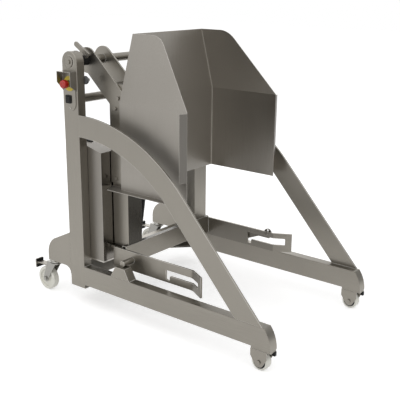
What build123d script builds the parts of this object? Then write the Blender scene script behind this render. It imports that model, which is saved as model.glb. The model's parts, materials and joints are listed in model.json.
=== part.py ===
from build123d import *
import math
import os

os.makedirs("parts", exist_ok=True)

# Frame of the part: X across, Y to the rear, Z up, in millimetres. The origin lies on the
# floor, in the centre plane, straight below the shaft that the carriage tilts about.

LEFT = -1
RIGHT = 1
SIDES = ((LEFT, "left"), (RIGHT, "right"))
ALONG_X = (0, 90, 0)

# Clearances
RUNNING = 0.05  # radial, a shaft that turns or slides in a hole
SNUG = 0.05  # radial, a round piece seated in a fixed hole
REST_GAP = 0.3  # between a moving piece and what it rests on
SIDE_GAP = 1.0  # beside a piece that turns between two cheeks

# Castors
FRONT_WHEEL_D = 80.0
FRONT_WHEEL_W = 38.0
FRONT_WHEEL_ROOM = 15.0  # above the front wheel
FRONT_PLATE_T = 10.0
FRONT_PLATE_INSET = 2.5  # top plate inside the cheeks
FRONT_AXLE_D = 10.0
FRONT_AXLE_FLATS = 17.0
FRONT_AXLE_HEAD = 5.0
FRONT_HUB_D = 28.0
FRONT_RIM_T = 12.0
FRONT_AXLE_SETBACK = 58.0  # axle behind the tip of the leg
FRONT_CHEEK_R = 24.0
FRONT_CHEEK_AHEAD = 40.0  # from the axle to the cheek's front edge
FRONT_CHEEK_BEHIND = 45.0  # from the axle to the cheek's back edge
FRONT_CHEEK_SIDE = 32.0  # upright stretch of the front and back edges
REAR_WHEEL_D = 125.0
REAR_WHEEL_W = 35.0
REAR_WHEEL_ROOM = 33.0  # above the rear wheel, under the fork's crown
REAR_AXLE_D = 12.0
REAR_AXLE_FLATS = 19.0
REAR_AXLE_HEAD = 6.0
REAR_HUB_D = 40.0
REAR_RIM_T = 16.0
REAR_CHEEK_R = 18.0
CHEEK_T = 4.0
CROWN_T = 8.0
SWIVEL_D = 64.0
SWIVEL_PLATE_T = 14.7
SWIVEL_Y = 195.0
SWIVEL_TRAIL = 62.0
KING_PIN_D = 16.0
TREAD_EDGE = 5.0
WEB_RECESS = 7.0
PEDAL_T = 6.0
PEDAL_LIFT = 9.0  # pedal above the wheel
PEDAL_REACH = 138.0  # from the swivel axis to the pedal's tip
PEDAL_PIN_D = 8.0
PEDAL_PIN_AHEAD = 17.0  # pedal pin ahead of the wheel's axle
PADDLE_W = 48.0
PADDLE_DROP = 27.0  # paddle below the pedal's arm
PADDLE_RISE = 21.0
PADDLE_CORNER = 5.0
BUMPER_WIDTH = 14.0
BUMPER_DEPTH = 16.0
BUMPER_HEIGHT = 20.0
BUMPER_AHEAD = 4.0  # of the leg's tip

# Base frame
CLEAR_WIDTH = 768.0  # between the posts
TUBE_DEPTH = 100.0  # long side of the rectangular tube
TUBE_WIDTH = 50.0
TUBE_WALL = 4.0
TUBE_EDGE = 3.0
PIVOT_Z = 1228.0
POST_BELOW_LEG = 20.0
LEG_REACH = 1177.0  # pivot axis to the tip of the leg
NOSE_RADIUS = 158.0
BRACE_T = 10.0
BRACE_WIDTH = 106.0
BRACE_TOP = 980.0
BRACE_LEAD = 10.0  # level stretch at the post
BRACE_RADIUS = 840.0
BRACE_SLOPE = 48.0
FOOT_TOP = 367.0
FOOT_REACH = 220.0  # pivot axis to the back of the rear foot
FOOT_SLOPE = 26.0
FOOT_CORNER = 100.0
FOOT_FILLET = 38.0
PEDESTAL_Y = -300.0
PEDESTAL_BASE = 125.0
PEDESTAL_TOP = 60.0
PEDESTAL_HEIGHT = 57.0
PEDESTAL_WALL = 5.0
SHAFT_D = 42.4
CROSS_TUBE_Z = 1048.0
CROSS_TUBE_WALL = 3.0
GUSSET_T = 8.0
GUSSET_ACROSS = 156.0
GUSSET_ALONG = 150.0

# Pivot
AXLE_D = 30.0
BEARING_OD = 64.0
END_FLOAT = 0.5
AXLE_WASHER_D = 50.0
AXLE_WASHER_T = 3.0
AXLE_BOLT_D = 12.0
AXLE_BOLT_LENGTH = 35.0
AXLE_BOLT_FLATS = 19.0
AXLE_BOLT_HEAD = 5.0

# Carriage
UPRIGHT_ROOM = 72.0  # between an upright and the post
UPRIGHT_SIDE = 100.0
UPRIGHT_WALL = 3.0
UPRIGHT_EDGE = 3.0
UPRIGHT_FRONT = -247.0
UPRIGHT_TOP = 1130.0
ARM_T = 8.0
ARM_SLOPE = 43.0
ARM_HEAD_R = 62.0
ARM_BELOW = 43.0  # from the shaft's axis to the band's lower edge
OUTER_ARM_FOOT = 645.0
INNER_ARM_FOOT = 1030.0
ARM_BOLT_D = 12.0
ARM_BOLT_FLATS = 19.0
ARM_BOLT_HEAD = 7.5
ARM_BOLT_PLACES = ((-205.0, 1064.0), (-185.0, 1013.0), (-179.0, 668.0))  # Y and Z
COLLAR_D = 47.0
COLLAR_END_GAP = 5.0  # between a collar and the post
LEVER_T = 8.0
LEVER_FROM_ARM = 21.0
LEVER_WIDTH = 25.0
LEVER_OFFSET = 41.0  # from the shaft's axis to the middle of the bar
LEVER_SADDLE = 24.0  # length of the saddle on the collar
LEVER_ANGLE = 32.0
LEVER_AHEAD = 20.0
LEVER_BEHIND = 88.0
LEVER_HOLE_D = 8.0
FORK_ROOM = 40.0  # between a fork arm and the post
FORK_T = 10.0
FORK_HEIGHT = 100.0
FORK_LIFT = 15.0  # above the legs
FORK_BACK = -173.0
FORK_BEND = -681.0
FLARE_OUT = 46.0
FLARE_AHEAD = 84.0
FLARE_RADIUS = 60.0  # of the bend's hollow side
SLOT_LIFT = 36.0  # above the fork arm's lower edge
SLOT_HEIGHT = 26.0
SLOT_BACK = -519.0
SLOT_END_BAR = 26.0
POCKET_DEPTH = 23.0
POCKET_LENGTH = 24.0
SLOT_CORNER = 5.0
LATCH_SLOT_RISE = 11.0  # by which the slot beside the latch is taller
STUB_D = 30.0
STUB_LENGTH = 71.0
BEAM_HEIGHT = 100.0
BEAM_DEPTH = 25.0
BEAM_WALL = 3.0
BEAM_LIFT = 12.0  # above the fork arms
SHELF_T = 12.0
LATCH_T = 8.0
LATCH_LOBE_R = 22.0
LATCH_EYE_D = 12.0
LATCH_EYE_RISE = 13.0  # eye above the pin
LATCH_Y = -640.0
LATCH_DROP = 8.0  # pin below the fork arm's upper edge
LATCH_REACH = 131.0
LATCH_BAR = 18.0
LATCH_HOOK_LENGTH = 75.0
LATCH_HOOK_LAP = 5.0  # hook's point below the slot's lower edge
LATCH_PIN_D = 12.0
LATCH_HEAD_D = 22.0
LATCH_HEAD_T = 4.0

# Hood
HOOD_T = 3.0
HOOD_ROOM = 29.0  # between the hood's side and the post
HOOD_TAPER = 97.0  # by which each side leans in at the top
HOOD_BOTTOM = 626.0
HOOD_CREASE = 1051.0
HOOD_TOP = 1362.0
HOOD_FRONT = -655.0
HOOD_TOP_FRONT = -418.0
HOOD_TOP_CORNER = 100.0
FLANGE_OUT = 35.0
FLANGE_BACK = 15.0
FLANGE_BOTTOM = 735.0
FLANGE_CREASE_GAP = 4.0
BRACKET_OUT = 38.0
BRACKET_FRONT = -600.0
BRACKET_BEND = -190.0
BRACKET_BACK = -150.0

# Hydraulic cylinder
CYLINDER_TOP_Y = -105.0
CYLINDER_TOP_DROP = 253.0  # upper pin below the shaft
CYLINDER_BASE_RISE = 35.0  # lower pin above the cross member
CYLINDER_BASE_AHEAD = 13.0  # lower pin ahead of the cross member's middle
CYLINDER_PIN_D = 20.0
BARREL_D = 80.0
BARREL_BORE = 66.0
BARREL_LENGTH = 620.0
BARREL_FLOOR = 42.0
GLAND_LENGTH = 22.0
ROD_D = 30.0
PISTON_LENGTH = 25.0
PISTON_START = 48.0
EYE_W = 30.0
EYE_R = 24.0
EAR_T = 8.0
LUG_R = 24.0
BASE_EAR_R = 19.0
BARREL_EYE_R = 20.0
EYE_ROOM = 4.0  # round the bracket's ears
EAR_PLATE_T = 8.0
EAR_PLATE_L = 46.0
PIN_HEAD_D = 28.0
PIN_HEAD_T = 5.0
CROSSBAR_SIDE = 60.0
CROSSBAR_WALL = 4.0

# Power unit
BOX_WIDTH = 120.0
BOX_WALL = 2.0
BOX_FRONT = -143.0
BOX_BACK = 45.0
BOX_BOTTOM = 236.0
BOX_FRONT_TOP = 800.0
BOX_TOP_SLOPE = 14.0
MOTOR_D = 84.0
MOTOR_LENGTH = 170.0
MOTOR_Y = -95.0
PUMP_DEPTH = 64.0
PUMP_HEIGHT = 70.0
TANK_DEPTH = 80.0
TANK_HEIGHT = 260.0
TANK_Y = -5.0
INNER_GAP = 8.0  # between the unit's pieces and the cover

# Controls
PANEL_W = 78.0
PANEL_T = 3.0
PANEL_LOW_Z = 1035.0
ESTOP_Z = 1127.0
ESTOP_DISC_D = 72.0
ESTOP_DISC_T = 3.0
ESTOP_COLLAR_D = 28.0
ESTOP_COLLAR_L = 10.0
ESTOP_NECK_D = 22.0
ESTOP_STEM_D = 16.0
ESTOP_HEAD_D = 40.0
ESTOP_HEAD_L = 28.0
ESTOP_HEAD_EDGE = 6.0
ESTOP_TRAVEL = 5.0
CONTACT_SIDE = 30.0
CONTACT_L = 22.0
GUARD_T = 2.0
GUARD_OUT = 37.0
GUARD_TOP = 1185.0
GUARD_FRONT = -43.0
GUARD_BACK_LIP = 51.0  # outer edge of the rear cheek
GUARD_FRONT_LIP = 67.0
GUARD_FOOT = 93.0
SWITCH_Y = 9.0
SWITCH_Z = 1052.0
SWITCH_W = 38.0
SWITCH_H = 40.0
SWITCH_CORNER = 6.0
SWITCH_RIM_T = 4.0
SWITCH_WALL = 2.0
SWITCH_LIP = 3.0
SWITCH_DEPTH = 26.0
ROCKER_T = 10.0
ROCKER_PROUD = 2.0
ROCKER_PIN_D = 4.0
SENSOR_D = 40.0
SENSOR_T = 14.0
SENSOR_Y = -45.0
SENSOR_Z = 1141.0
SENSOR_NOSE_D = 18.0
SENSOR_GAP = 4.0  # to the trip lever
SCREW_D = 6.0
SCREW_HEAD_D = 11.0
SCREW_HEAD_T = 3.5
SCREW_LENGTH = 7.0
SCREW_INSET = 14.0
PANEL_SCREW_Z = 1010.0

# Places worked out from the sizes above
POST_IN = CLEAR_WIDTH / 2
POST_OUT = POST_IN + TUBE_WIDTH
POST_MID = POST_IN + TUBE_WIDTH / 2
POST_FRONT = -TUBE_DEPTH / 2
POST_BACK = TUBE_DEPTH / 2
LEG_BOTTOM = FRONT_WHEEL_D + FRONT_WHEEL_ROOM + FRONT_PLATE_T
LEG_TOP = LEG_BOTTOM + TUBE_DEPTH
POST_BOTTOM = LEG_BOTTOM - POST_BELOW_LEG
FRONT_AXLE_Y = -LEG_REACH + FRONT_AXLE_SETBACK
CROWN_BOTTOM = REAR_WHEEL_D + REAR_WHEEL_ROOM
SWIVEL_BOTTOM = CROWN_BOTTOM + CROWN_T + REST_GAP
FOOT_BOTTOM = SWIVEL_BOTTOM + SWIVEL_PLATE_T
REAR_AXLE_Y = SWIVEL_Y + SWIVEL_TRAIL
REAR_AXLE_Z = REAR_WHEEL_D / 2
REAR_CHEEK_IN = REAR_WHEEL_W / 2 + SIDE_GAP
MEMBER_Y = POST_BACK - TUBE_WIDTH / 2
STUB_Z = LEG_TOP + PEDESTAL_HEIGHT + REST_GAP + STUB_D / 2
UPRIGHT_OUT = POST_IN - UPRIGHT_ROOM
UPRIGHT_IN = UPRIGHT_OUT - UPRIGHT_SIDE
UPRIGHT_BACK = UPRIGHT_FRONT + UPRIGHT_SIDE
ARM_OUT = UPRIGHT_OUT + ARM_T
LEVER_IN = ARM_OUT + LEVER_FROM_ARM
COLLAR_END = POST_IN - COLLAR_END_GAP
FORK_OUT = POST_IN - FORK_ROOM
FORK_IN = FORK_OUT - FORK_T
FORK_BOTTOM = LEG_TOP + FORK_LIFT
FORK_TOP = FORK_BOTTOM + FORK_HEIGHT
BEAM_TOP = FORK_TOP + BEAM_LIFT
HOOD_HALF = POST_IN - HOOD_ROOM
HOOD_TOP_HALF = HOOD_HALF - HOOD_TAPER
HOOD_BACK = UPRIGHT_FRONT - HOOD_T
BEAM_BACK = HOOD_BACK + BEAM_DEPTH
BOX_IN = POST_IN - BOX_WIDTH
PANEL_OUT = POST_OUT + PANEL_T
CYLINDER_BASE = Vector(0, MEMBER_Y - CYLINDER_BASE_AHEAD, LEG_TOP + CYLINDER_BASE_RISE)
CYLINDER_TOP = Vector(0, CYLINDER_TOP_Y, PIVOT_Z - CYLINDER_TOP_DROP)
CYLINDER_AXIS = CYLINDER_TOP - CYLINDER_BASE
CYLINDER_PLANE = Plane(origin=CYLINDER_BASE, x_dir=(1, 0, 0), z_dir=CYLINDER_AXIS)


def side_plane(side, near, far):
    """Sketch plane (Y right, Z up) for a plate from near to far off the centre plane."""
    return Plane.YZ.offset(min(side * near, side * far))


def rod_x(radius, x_from, x_to, y, z, mode=Mode.ADD):
    """A round bar, or a hole, along X."""
    with Locations(((x_from + x_to) / 2, y, z)):
        Cylinder(radius, abs(x_to - x_from), rotation=ALONG_X, mode=mode)


def block(x_range, y_range, z_range, mode=Mode.ADD):
    """A box, or a square hole, between two places on each axis."""
    spans = (x_range, y_range, z_range)
    sizes = [abs(high - low) for low, high in spans]
    with Locations(tuple((low + high) / 2 for low, high in spans)):
        Box(*sizes, mode=mode)


def hex_head_x(flats, x_from, x_to, y, z):
    """A hexagon bolt head along X."""
    with BuildSketch(Plane.YZ.offset(min(x_from, x_to))) as hexagon:
        with Locations((y, z)):
            RegularPolygon(flats / 2, 6, major_radius=False)
    extrude(hexagon.sketch, amount=abs(x_to - x_from))


def save(piece, name):
    """Label a finished piece and write it as one file."""
    piece.part.label = name
    export_step(piece.part, f"parts/{name}.step")


# Base frame


def post_outline(inset):
    """Side view of a post: a straight tube with a half-round head."""
    bottom = POST_BOTTOM + inset
    with Locations((0, (bottom + PIVOT_Z) / 2)):
        Rectangle(TUBE_DEPTH - 2 * inset, PIVOT_Z - bottom)
    with Locations((0, PIVOT_Z)):
        Circle(TUBE_DEPTH / 2 - inset)


def build_post(side, word):
    """Hollow post with its bearing seat; the left one also has the cut-outs of the controls."""
    with BuildPart() as post:
        with BuildSketch(side_plane(side, POST_IN, POST_OUT)):
            post_outline(0)
        extrude(amount=TUBE_WIDTH)
        skins = post.faces().filter_by(Axis.X)
        fillet(skins.edges(), TUBE_EDGE)
        with BuildSketch(side_plane(side, POST_IN + TUBE_WALL, POST_OUT - TUBE_WALL)):
            post_outline(TUBE_WALL)
        extrude(amount=TUBE_WIDTH - 2 * TUBE_WALL, mode=Mode.SUBTRACT)
        bearing_seat = BEARING_OD / 2 + SNUG
        rod_x(bearing_seat, side * POST_IN, side * POST_OUT, 0, PIVOT_Z, Mode.SUBTRACT)
        if side == LEFT:
            outer_wall = (-POST_OUT, -POST_OUT + TUBE_WALL)
            rod_x(ESTOP_NECK_D / 2 + SNUG, *outer_wall, 0, ESTOP_Z, Mode.SUBTRACT)
            block(outer_wall, *switch_cutout(), Mode.SUBTRACT)
            rod_x(SCREW_D / 2 + SNUG, *outer_wall, 0, PANEL_SCREW_Z, Mode.SUBTRACT)
    save(post, f"{word}_post")


def switch_cutout():
    """Y and Z limits of the square hole that the rocker switch sits in."""
    half_w = SWITCH_W / 2 - SWITCH_LIP + SNUG
    half_h = SWITCH_H / 2 - SWITCH_LIP + SNUG
    return (SWITCH_Y - half_w, SWITCH_Y + half_w), (SWITCH_Z - half_h, SWITCH_Z + half_h)


def build_pivot_bearings():
    with BuildPart() as bearings:
        for side, _ in SIDES:
            rod_x(BEARING_OD / 2, side * POST_IN, side * POST_OUT, 0, PIVOT_Z)
            axle_hole = AXLE_D / 2 + RUNNING
            rod_x(axle_hole, side * POST_IN, side * POST_OUT, 0, PIVOT_Z, Mode.SUBTRACT)
    save(bearings, "pivot_bearings")


def leg_outline(inset):
    """Side view of a leg with its rounded nose, drawn inside the outer skin by inset."""
    bottom = LEG_BOTTOM + inset
    top = LEG_TOP - inset
    radius = NOSE_RADIUS - inset
    centre_y = NOSE_RADIUS - LEG_REACH

    def nose(height):
        return (centre_y - math.sqrt(radius**2 - (height - LEG_BOTTOM) ** 2), height)

    with BuildLine() as outline:
        Polyline(nose(top), (POST_FRONT, top), (POST_FRONT, bottom), nose(bottom))
        ThreePointArc(nose(bottom), nose((bottom + top) / 2), nose(top))
    make_face(outline.edges())


def build_leg(side, word):
    with BuildPart() as leg:
        with BuildSketch(side_plane(side, POST_IN, POST_OUT)):
            leg_outline(0)
        extrude(amount=TUBE_WIDTH)
        long_edges = leg.edges().filter_by(Axis.Y)
        fillet(long_edges, TUBE_EDGE)
        with BuildSketch(side_plane(side, POST_IN + TUBE_WALL, POST_OUT - TUBE_WALL)):
            leg_outline(TUBE_WALL)
        extrude(amount=TUBE_WIDTH - 2 * TUBE_WALL, mode=Mode.SUBTRACT)
    save(leg, f"{word}_leg")


def build_brace(side, word):
    """Curved plate from the post, level, to the leg's nose, flush with the outer face."""
    turn = math.radians(BRACE_SLOPE)
    centre = (POST_FRONT - BRACE_LEAD, BRACE_TOP - BRACE_RADIUS)

    def edge_points(radius):
        level = centre[1] + radius
        bend = (centre[0] - radius * math.sin(turn), centre[1] + radius * math.cos(turn))
        foot = (bend[0] - (bend[1] - LEG_TOP) / math.tan(turn), LEG_TOP)
        return (POST_FRONT, level), (centre[0], level), bend, foot

    with BuildPart() as brace:
        with BuildSketch(side_plane(side, POST_OUT - BRACE_T, POST_OUT)):
            upper_radius = BRACE_RADIUS
            lower_radius = BRACE_RADIUS - BRACE_WIDTH
            upper = edge_points(upper_radius)
            lower = edge_points(lower_radius)
            with BuildLine():
                Line(upper[0], upper[1])
                CenterArc(centre, upper_radius, 90, BRACE_SLOPE)
                Polyline(upper[2], upper[3], lower[3], lower[2])
                CenterArc(centre, lower_radius, 90, BRACE_SLOPE)
                Polyline(lower[1], lower[0], upper[0])
            make_face()
        extrude(amount=BRACE_T)
    save(brace, f"{word}_brace")


def build_rear_foot(side, word):
    """Hollow foot behind the post, open where it meets the post."""
    drop = (FOOT_REACH - POST_BACK) * math.tan(math.radians(FOOT_SLOPE))
    shoulder = (FOOT_REACH, FOOT_TOP - drop)
    inner_corner = (POST_BACK, FOOT_BOTTOM)
    with BuildPart() as foot:
        with BuildSketch(side_plane(side, POST_IN, POST_OUT)) as outline:
            Polygon((POST_BACK, FOOT_TOP), shoulder, (FOOT_REACH, FOOT_BOTTOM), inner_corner, align=None)
            fillet(outline.vertices().group_by(Axis.X)[-1].sort_by(Axis.Y)[-1], FOOT_CORNER)
            with BuildLine() as web:
                Line(inner_corner, (POST_BACK + FOOT_FILLET, FOOT_BOTTOM))
                web_centre = (POST_BACK + FOOT_FILLET, FOOT_BOTTOM - FOOT_FILLET)
                CenterArc(web_centre, FOOT_FILLET, 90, 90)
                Line((POST_BACK, FOOT_BOTTOM - FOOT_FILLET), inner_corner)
            make_face()
        extrude(amount=TUBE_WIDTH)
        offset(amount=-TUBE_WALL, openings=foot.faces().filter_by(Axis.Y).sort_by(Axis.Y)[0])
    save(foot, f"{word}_rear_foot")


def build_pedestals():
    """Hollow trapezoid blocks on the legs that the rest stubs come down on."""
    with BuildPart() as pedestals:
        with BuildSketch(side_plane(RIGHT, POST_IN, POST_OUT)):
            foot_half = PEDESTAL_BASE / 2
            top_half = PEDESTAL_TOP / 2
            top = LEG_TOP + PEDESTAL_HEIGHT
            Polygon(
                (PEDESTAL_Y - foot_half, LEG_TOP),
                (PEDESTAL_Y + foot_half, LEG_TOP),
                (PEDESTAL_Y + top_half, top),
                (PEDESTAL_Y - top_half, top),
                align=None,
            )
        extrude(amount=TUBE_WIDTH)
        offset(amount=-PEDESTAL_WALL, openings=pedestals.faces().sort_by(Axis.Z)[0])
        mirror(about=Plane.YZ)
    save(pedestals, "pedestals")


def build_cross_tube():
    with BuildPart() as tube:
        rod_x(SHAFT_D / 2, -POST_IN, POST_IN, 0, CROSS_TUBE_Z)
        rod_x(SHAFT_D / 2 - CROSS_TUBE_WALL, -POST_IN, POST_IN, 0, CROSS_TUBE_Z, Mode.SUBTRACT)
    save(tube, "cross_tube")


def build_rear_cross_member():
    with BuildPart() as member:
        reach = (-POST_IN, POST_IN)
        front = MEMBER_Y - TUBE_WIDTH / 2
        block(reach, (front, POST_BACK), (LEG_BOTTOM, LEG_TOP))
        fillet(member.edges().filter_by(Axis.X), TUBE_EDGE)
        hollow_y = (front + TUBE_WALL, POST_BACK - TUBE_WALL)
        hollow_z = (LEG_BOTTOM + TUBE_WALL, LEG_TOP - TUBE_WALL)
        block(reach, hollow_y, hollow_z, Mode.SUBTRACT)
    save(member, "rear_cross_member")


def build_corner_gussets():
    """Flat triangles between the rear cross member and the posts and legs."""
    front = MEMBER_Y - TUBE_WIDTH / 2
    with BuildPart() as gussets:
        with BuildSketch(Plane.XY.offset(LEG_BOTTOM)):
            Polygon(
                (POST_IN, front),
                (POST_IN - GUSSET_ACROSS, front),
                (POST_IN, front - GUSSET_ALONG),
                align=None,
            )
        extrude(amount=GUSSET_T)
        mirror(about=Plane.YZ)
    save(gussets, "corner_gussets")


# Castors


def build_front_fork(side, word):
    """Fixed fork under the leg: a top plate and two cheeks that narrow to a round end."""
    x_mid = side * POST_MID
    cheek_in = FRONT_WHEEL_W / 2 + SIDE_GAP
    cheek_out = cheek_in + CHEEK_T
    axle_z = FRONT_WHEEL_D / 2
    plate_bottom = LEG_BOTTOM - FRONT_PLATE_T
    with BuildPart() as fork:
        plate_half = cheek_out - FRONT_PLATE_INSET
        cheek_front = FRONT_AXLE_Y - FRONT_CHEEK_AHEAD
        cheek_back = FRONT_AXLE_Y + FRONT_CHEEK_BEHIND
        side_low = plate_bottom - FRONT_CHEEK_SIDE
        block((x_mid - plate_half, x_mid + plate_half), (-LEG_REACH, cheek_back), (plate_bottom, LEG_BOTTOM))
        for cheek in (LEFT, RIGHT):
            start = x_mid + min(cheek * cheek_in, cheek * cheek_out)
            with BuildSketch(Plane.YZ.offset(start)):
                with Locations((FRONT_AXLE_Y, axle_z)):
                    Circle(FRONT_CHEEK_R)
                Polygon(
                    (cheek_front, plate_bottom),
                    (cheek_back, plate_bottom),
                    (cheek_back, side_low),
                    (cheek_front, side_low),
                    align=None,
                )
                make_hull()
            extrude(amount=CHEEK_T)
        axle_hole = FRONT_AXLE_D / 2 + SNUG
        rod_x(axle_hole, x_mid - cheek_out, x_mid + cheek_out, FRONT_AXLE_Y, axle_z, Mode.SUBTRACT)
    save(fork, f"{word}_front_fork")


def build_front_axles():
    """Bolts through the front forks, with a head on each end."""
    half = FRONT_WHEEL_W / 2 + SIDE_GAP + CHEEK_T
    with BuildPart() as axles:
        for side, _ in SIDES:
            x_mid = side * POST_MID
            place = (FRONT_AXLE_Y, FRONT_WHEEL_D / 2)
            rod_x(FRONT_AXLE_D / 2, x_mid - half, x_mid + half, *place)
            hex_head_x(FRONT_AXLE_FLATS, x_mid - half - FRONT_AXLE_HEAD, x_mid - half, *place)
            hex_head_x(FRONT_AXLE_FLATS, x_mid + half, x_mid + half + FRONT_AXLE_HEAD, *place)
    save(axles, "front_axles")


def build_front_bumpers():
    """Rubber blocks in the front forks, beside the right cheek and ahead of the wheel."""
    plate_bottom = LEG_BOTTOM - FRONT_PLATE_T
    front = -LEG_REACH - BUMPER_AHEAD
    with BuildPart() as bumpers:
        for side, _ in SIDES:
            cheek = side * POST_MID + FRONT_WHEEL_W / 2 + SIDE_GAP
            block(
                (cheek - BUMPER_WIDTH, cheek),
                (front, front + BUMPER_DEPTH),
                (plate_bottom - BUMPER_HEIGHT, plate_bottom),
            )
    save(bumpers, "front_bumpers")


def build_wheel(name, x_mid, axle_y, diameter, width, axle_d, hub_d, rim_t):
    """Nylon wheel with a hub, a thin web and a rounded tread."""
    with BuildPart() as wheel:
        half = width / 2
        place = (axle_y, diameter / 2)
        rod_x(diameter / 2, x_mid - half, x_mid + half, *place)
        fillet(wheel.edges(), TREAD_EDGE)
        for face in (LEFT, RIGHT):
            start = min(x_mid + face * half, x_mid + face * (half - WEB_RECESS))
            with BuildSketch(Plane.YZ.offset(start)):
                with Locations(place):
                    Circle(diameter / 2 - rim_t)
                    Circle(hub_d / 2, mode=Mode.SUBTRACT)
            extrude(amount=WEB_RECESS, mode=Mode.SUBTRACT)
        rod_x(axle_d / 2 + RUNNING, x_mid - half, x_mid + half, *place, Mode.SUBTRACT)
    save(wheel, name)


def build_front_wheel(side, word):
    sizes = (FRONT_WHEEL_D, FRONT_WHEEL_W, FRONT_AXLE_D, FRONT_HUB_D, FRONT_RIM_T)
    build_wheel(f"{word}_front_wheel", side * POST_MID, FRONT_AXLE_Y, *sizes)


def build_rear_wheel(side, word):
    sizes = (REAR_WHEEL_D, REAR_WHEEL_W, REAR_AXLE_D, REAR_HUB_D, REAR_RIM_T)
    build_wheel(f"{word}_rear_wheel", side * POST_MID, REAR_AXLE_Y, *sizes)


def build_swivel_plates():
    """Fixed upper halves of the rear castors, each with its king pin."""
    with BuildPart() as plates:
        for side, _ in SIDES:
            x_mid = side * POST_MID
            with BuildSketch(Plane.XY.offset(SWIVEL_BOTTOM)) as disc:
                with Locations((x_mid, SWIVEL_Y)):
                    Circle(TUBE_WIDTH / 2)
            extrude(disc.sketch, amount=SWIVEL_PLATE_T)
            with BuildSketch(Plane.XY.offset(CROWN_BOTTOM)) as pin:
                with Locations((x_mid, SWIVEL_Y)):
                    Circle(KING_PIN_D / 2)
            extrude(pin.sketch, amount=CROWN_T + REST_GAP)
    save(plates, "swivel_plates")


def pedal_pin():
    """Y and Z of the brake pedal's pin."""
    return REAR_AXLE_Y - PEDAL_PIN_AHEAD, REAR_WHEEL_D + PEDAL_LIFT + PEDAL_T / 2


def build_swivel_fork(side, word):
    """Swivelling fork of a rear castor, with the wheel's axle riveted in."""
    x_mid = side * POST_MID
    cheek_out = REAR_CHEEK_IN + CHEEK_T
    with BuildPart() as fork:
        with BuildSketch(Plane.XY.offset(CROWN_BOTTOM)):
            with Locations((x_mid, SWIVEL_Y)):
                Circle(SWIVEL_D / 2)
            with Locations((x_mid, SWIVEL_Y + SWIVEL_TRAIL / 4)):
                Rectangle(2 * cheek_out, SWIVEL_D / 2 + SWIVEL_TRAIL / 2)
        extrude(amount=CROWN_T)
        for cheek in (LEFT, RIGHT):
            start = x_mid + min(cheek * REAR_CHEEK_IN, cheek * cheek_out)
            crown_back = SWIVEL_Y + SWIVEL_D / 4 + SWIVEL_TRAIL / 2
            crown_front = SWIVEL_Y - SWIVEL_D / 4
            with BuildSketch(Plane.YZ.offset(start)):
                with Locations((REAR_AXLE_Y, REAR_AXLE_Z)):
                    Circle(REAR_CHEEK_R)
                Polygon(
                    (crown_front, CROWN_BOTTOM),
                    (REAR_AXLE_Y - REAR_CHEEK_R, REAR_AXLE_Z),
                    (REAR_AXLE_Y + REAR_CHEEK_R, REAR_AXLE_Z),
                    (crown_back, CROWN_BOTTOM),
                    align=None,
                )
            extrude(amount=CHEEK_T)
        limits = (x_mid - cheek_out, x_mid + cheek_out)
        rod_x(PEDAL_PIN_D / 2 + RUNNING, *limits, *pedal_pin(), Mode.SUBTRACT)
        rod_x(REAR_AXLE_D / 2, *limits, REAR_AXLE_Y, REAR_AXLE_Z)
        for end in (LEFT, RIGHT):
            face = x_mid + end * cheek_out
            head = (face, face + end * REAR_AXLE_HEAD)
            hex_head_x(REAR_AXLE_FLATS, *head, REAR_AXLE_Y, REAR_AXLE_Z)
        with Locations((x_mid, SWIVEL_Y, CROWN_BOTTOM + CROWN_T / 2)):
            Cylinder(KING_PIN_D / 2 + RUNNING, CROWN_T, mode=Mode.SUBTRACT)
    save(fork, f"{word}_swivel_fork")


def build_brake_pedal(side, word):
    """Brake arm over the rear wheel with an upright paddle, hung on a pin in the fork's cheeks."""
    x_mid = side * POST_MID
    pin_y, pin_z = pedal_pin()
    half = REAR_WHEEL_W / 2
    tip = SWIVEL_Y + PEDAL_REACH
    with BuildPart() as pedal:
        bottom = pin_z - PEDAL_T / 2
        block((x_mid - half, x_mid + half), (pin_y, tip), (bottom, bottom + PEDAL_T))
        paddle_x = (x_mid - PADDLE_W / 2, x_mid + PADDLE_W / 2)
        block(paddle_x, (tip - PEDAL_T, tip), (bottom - PADDLE_DROP, bottom + PADDLE_RISE))
        corners = pedal.edges().filter_by(Axis.Y).group_by(SortBy.LENGTH)[0]
        fillet(corners, PADDLE_CORNER)
        rod_x(PEDAL_T / 2, x_mid - half, x_mid + half, pin_y, pin_z)
        reach = REAR_CHEEK_IN + CHEEK_T
        rod_x(PEDAL_PIN_D / 2, x_mid - reach, x_mid + reach, pin_y, pin_z)
    save(pedal, f"{word}_brake_pedal")


# Carriage


def build_pivot_shaft():
    """Round shaft across the carriage with thinner axle ends that run in the bearings."""
    shoulder = POST_IN - END_FLOAT
    tip = POST_OUT + END_FLOAT
    with BuildPart() as shaft:
        rod_x(SHAFT_D / 2, -shoulder, shoulder, 0, PIVOT_Z)
        rod_x(AXLE_D / 2, -tip, tip, 0, PIVOT_Z)
        for side, _ in SIDES:
            thread = AXLE_BOLT_D / 2 + SNUG
            rod_x(thread, side * (tip - AXLE_BOLT_LENGTH), side * tip, 0, PIVOT_Z, Mode.SUBTRACT)
    save(shaft, "pivot_shaft")


def build_axle_bolts():
    """Washers and bolts on the axle ends, outside the posts."""
    washer_in = POST_OUT + END_FLOAT
    washer_out = washer_in + AXLE_WASHER_T
    with BuildPart() as bolts:
        for side, _ in SIDES:
            rod_x(AXLE_WASHER_D / 2, side * washer_in, side * washer_out, 0, PIVOT_Z)
            head_out = washer_out + AXLE_BOLT_HEAD
            hex_head_x(AXLE_BOLT_FLATS, side * washer_out, side * head_out, 0, PIVOT_Z)
            shank_in = washer_in - AXLE_BOLT_LENGTH + END_FLOAT
            rod_x(AXLE_BOLT_D / 2, side * shank_in, side * washer_in, 0, PIVOT_Z)
    save(bolts, "axle_bolts")


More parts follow.
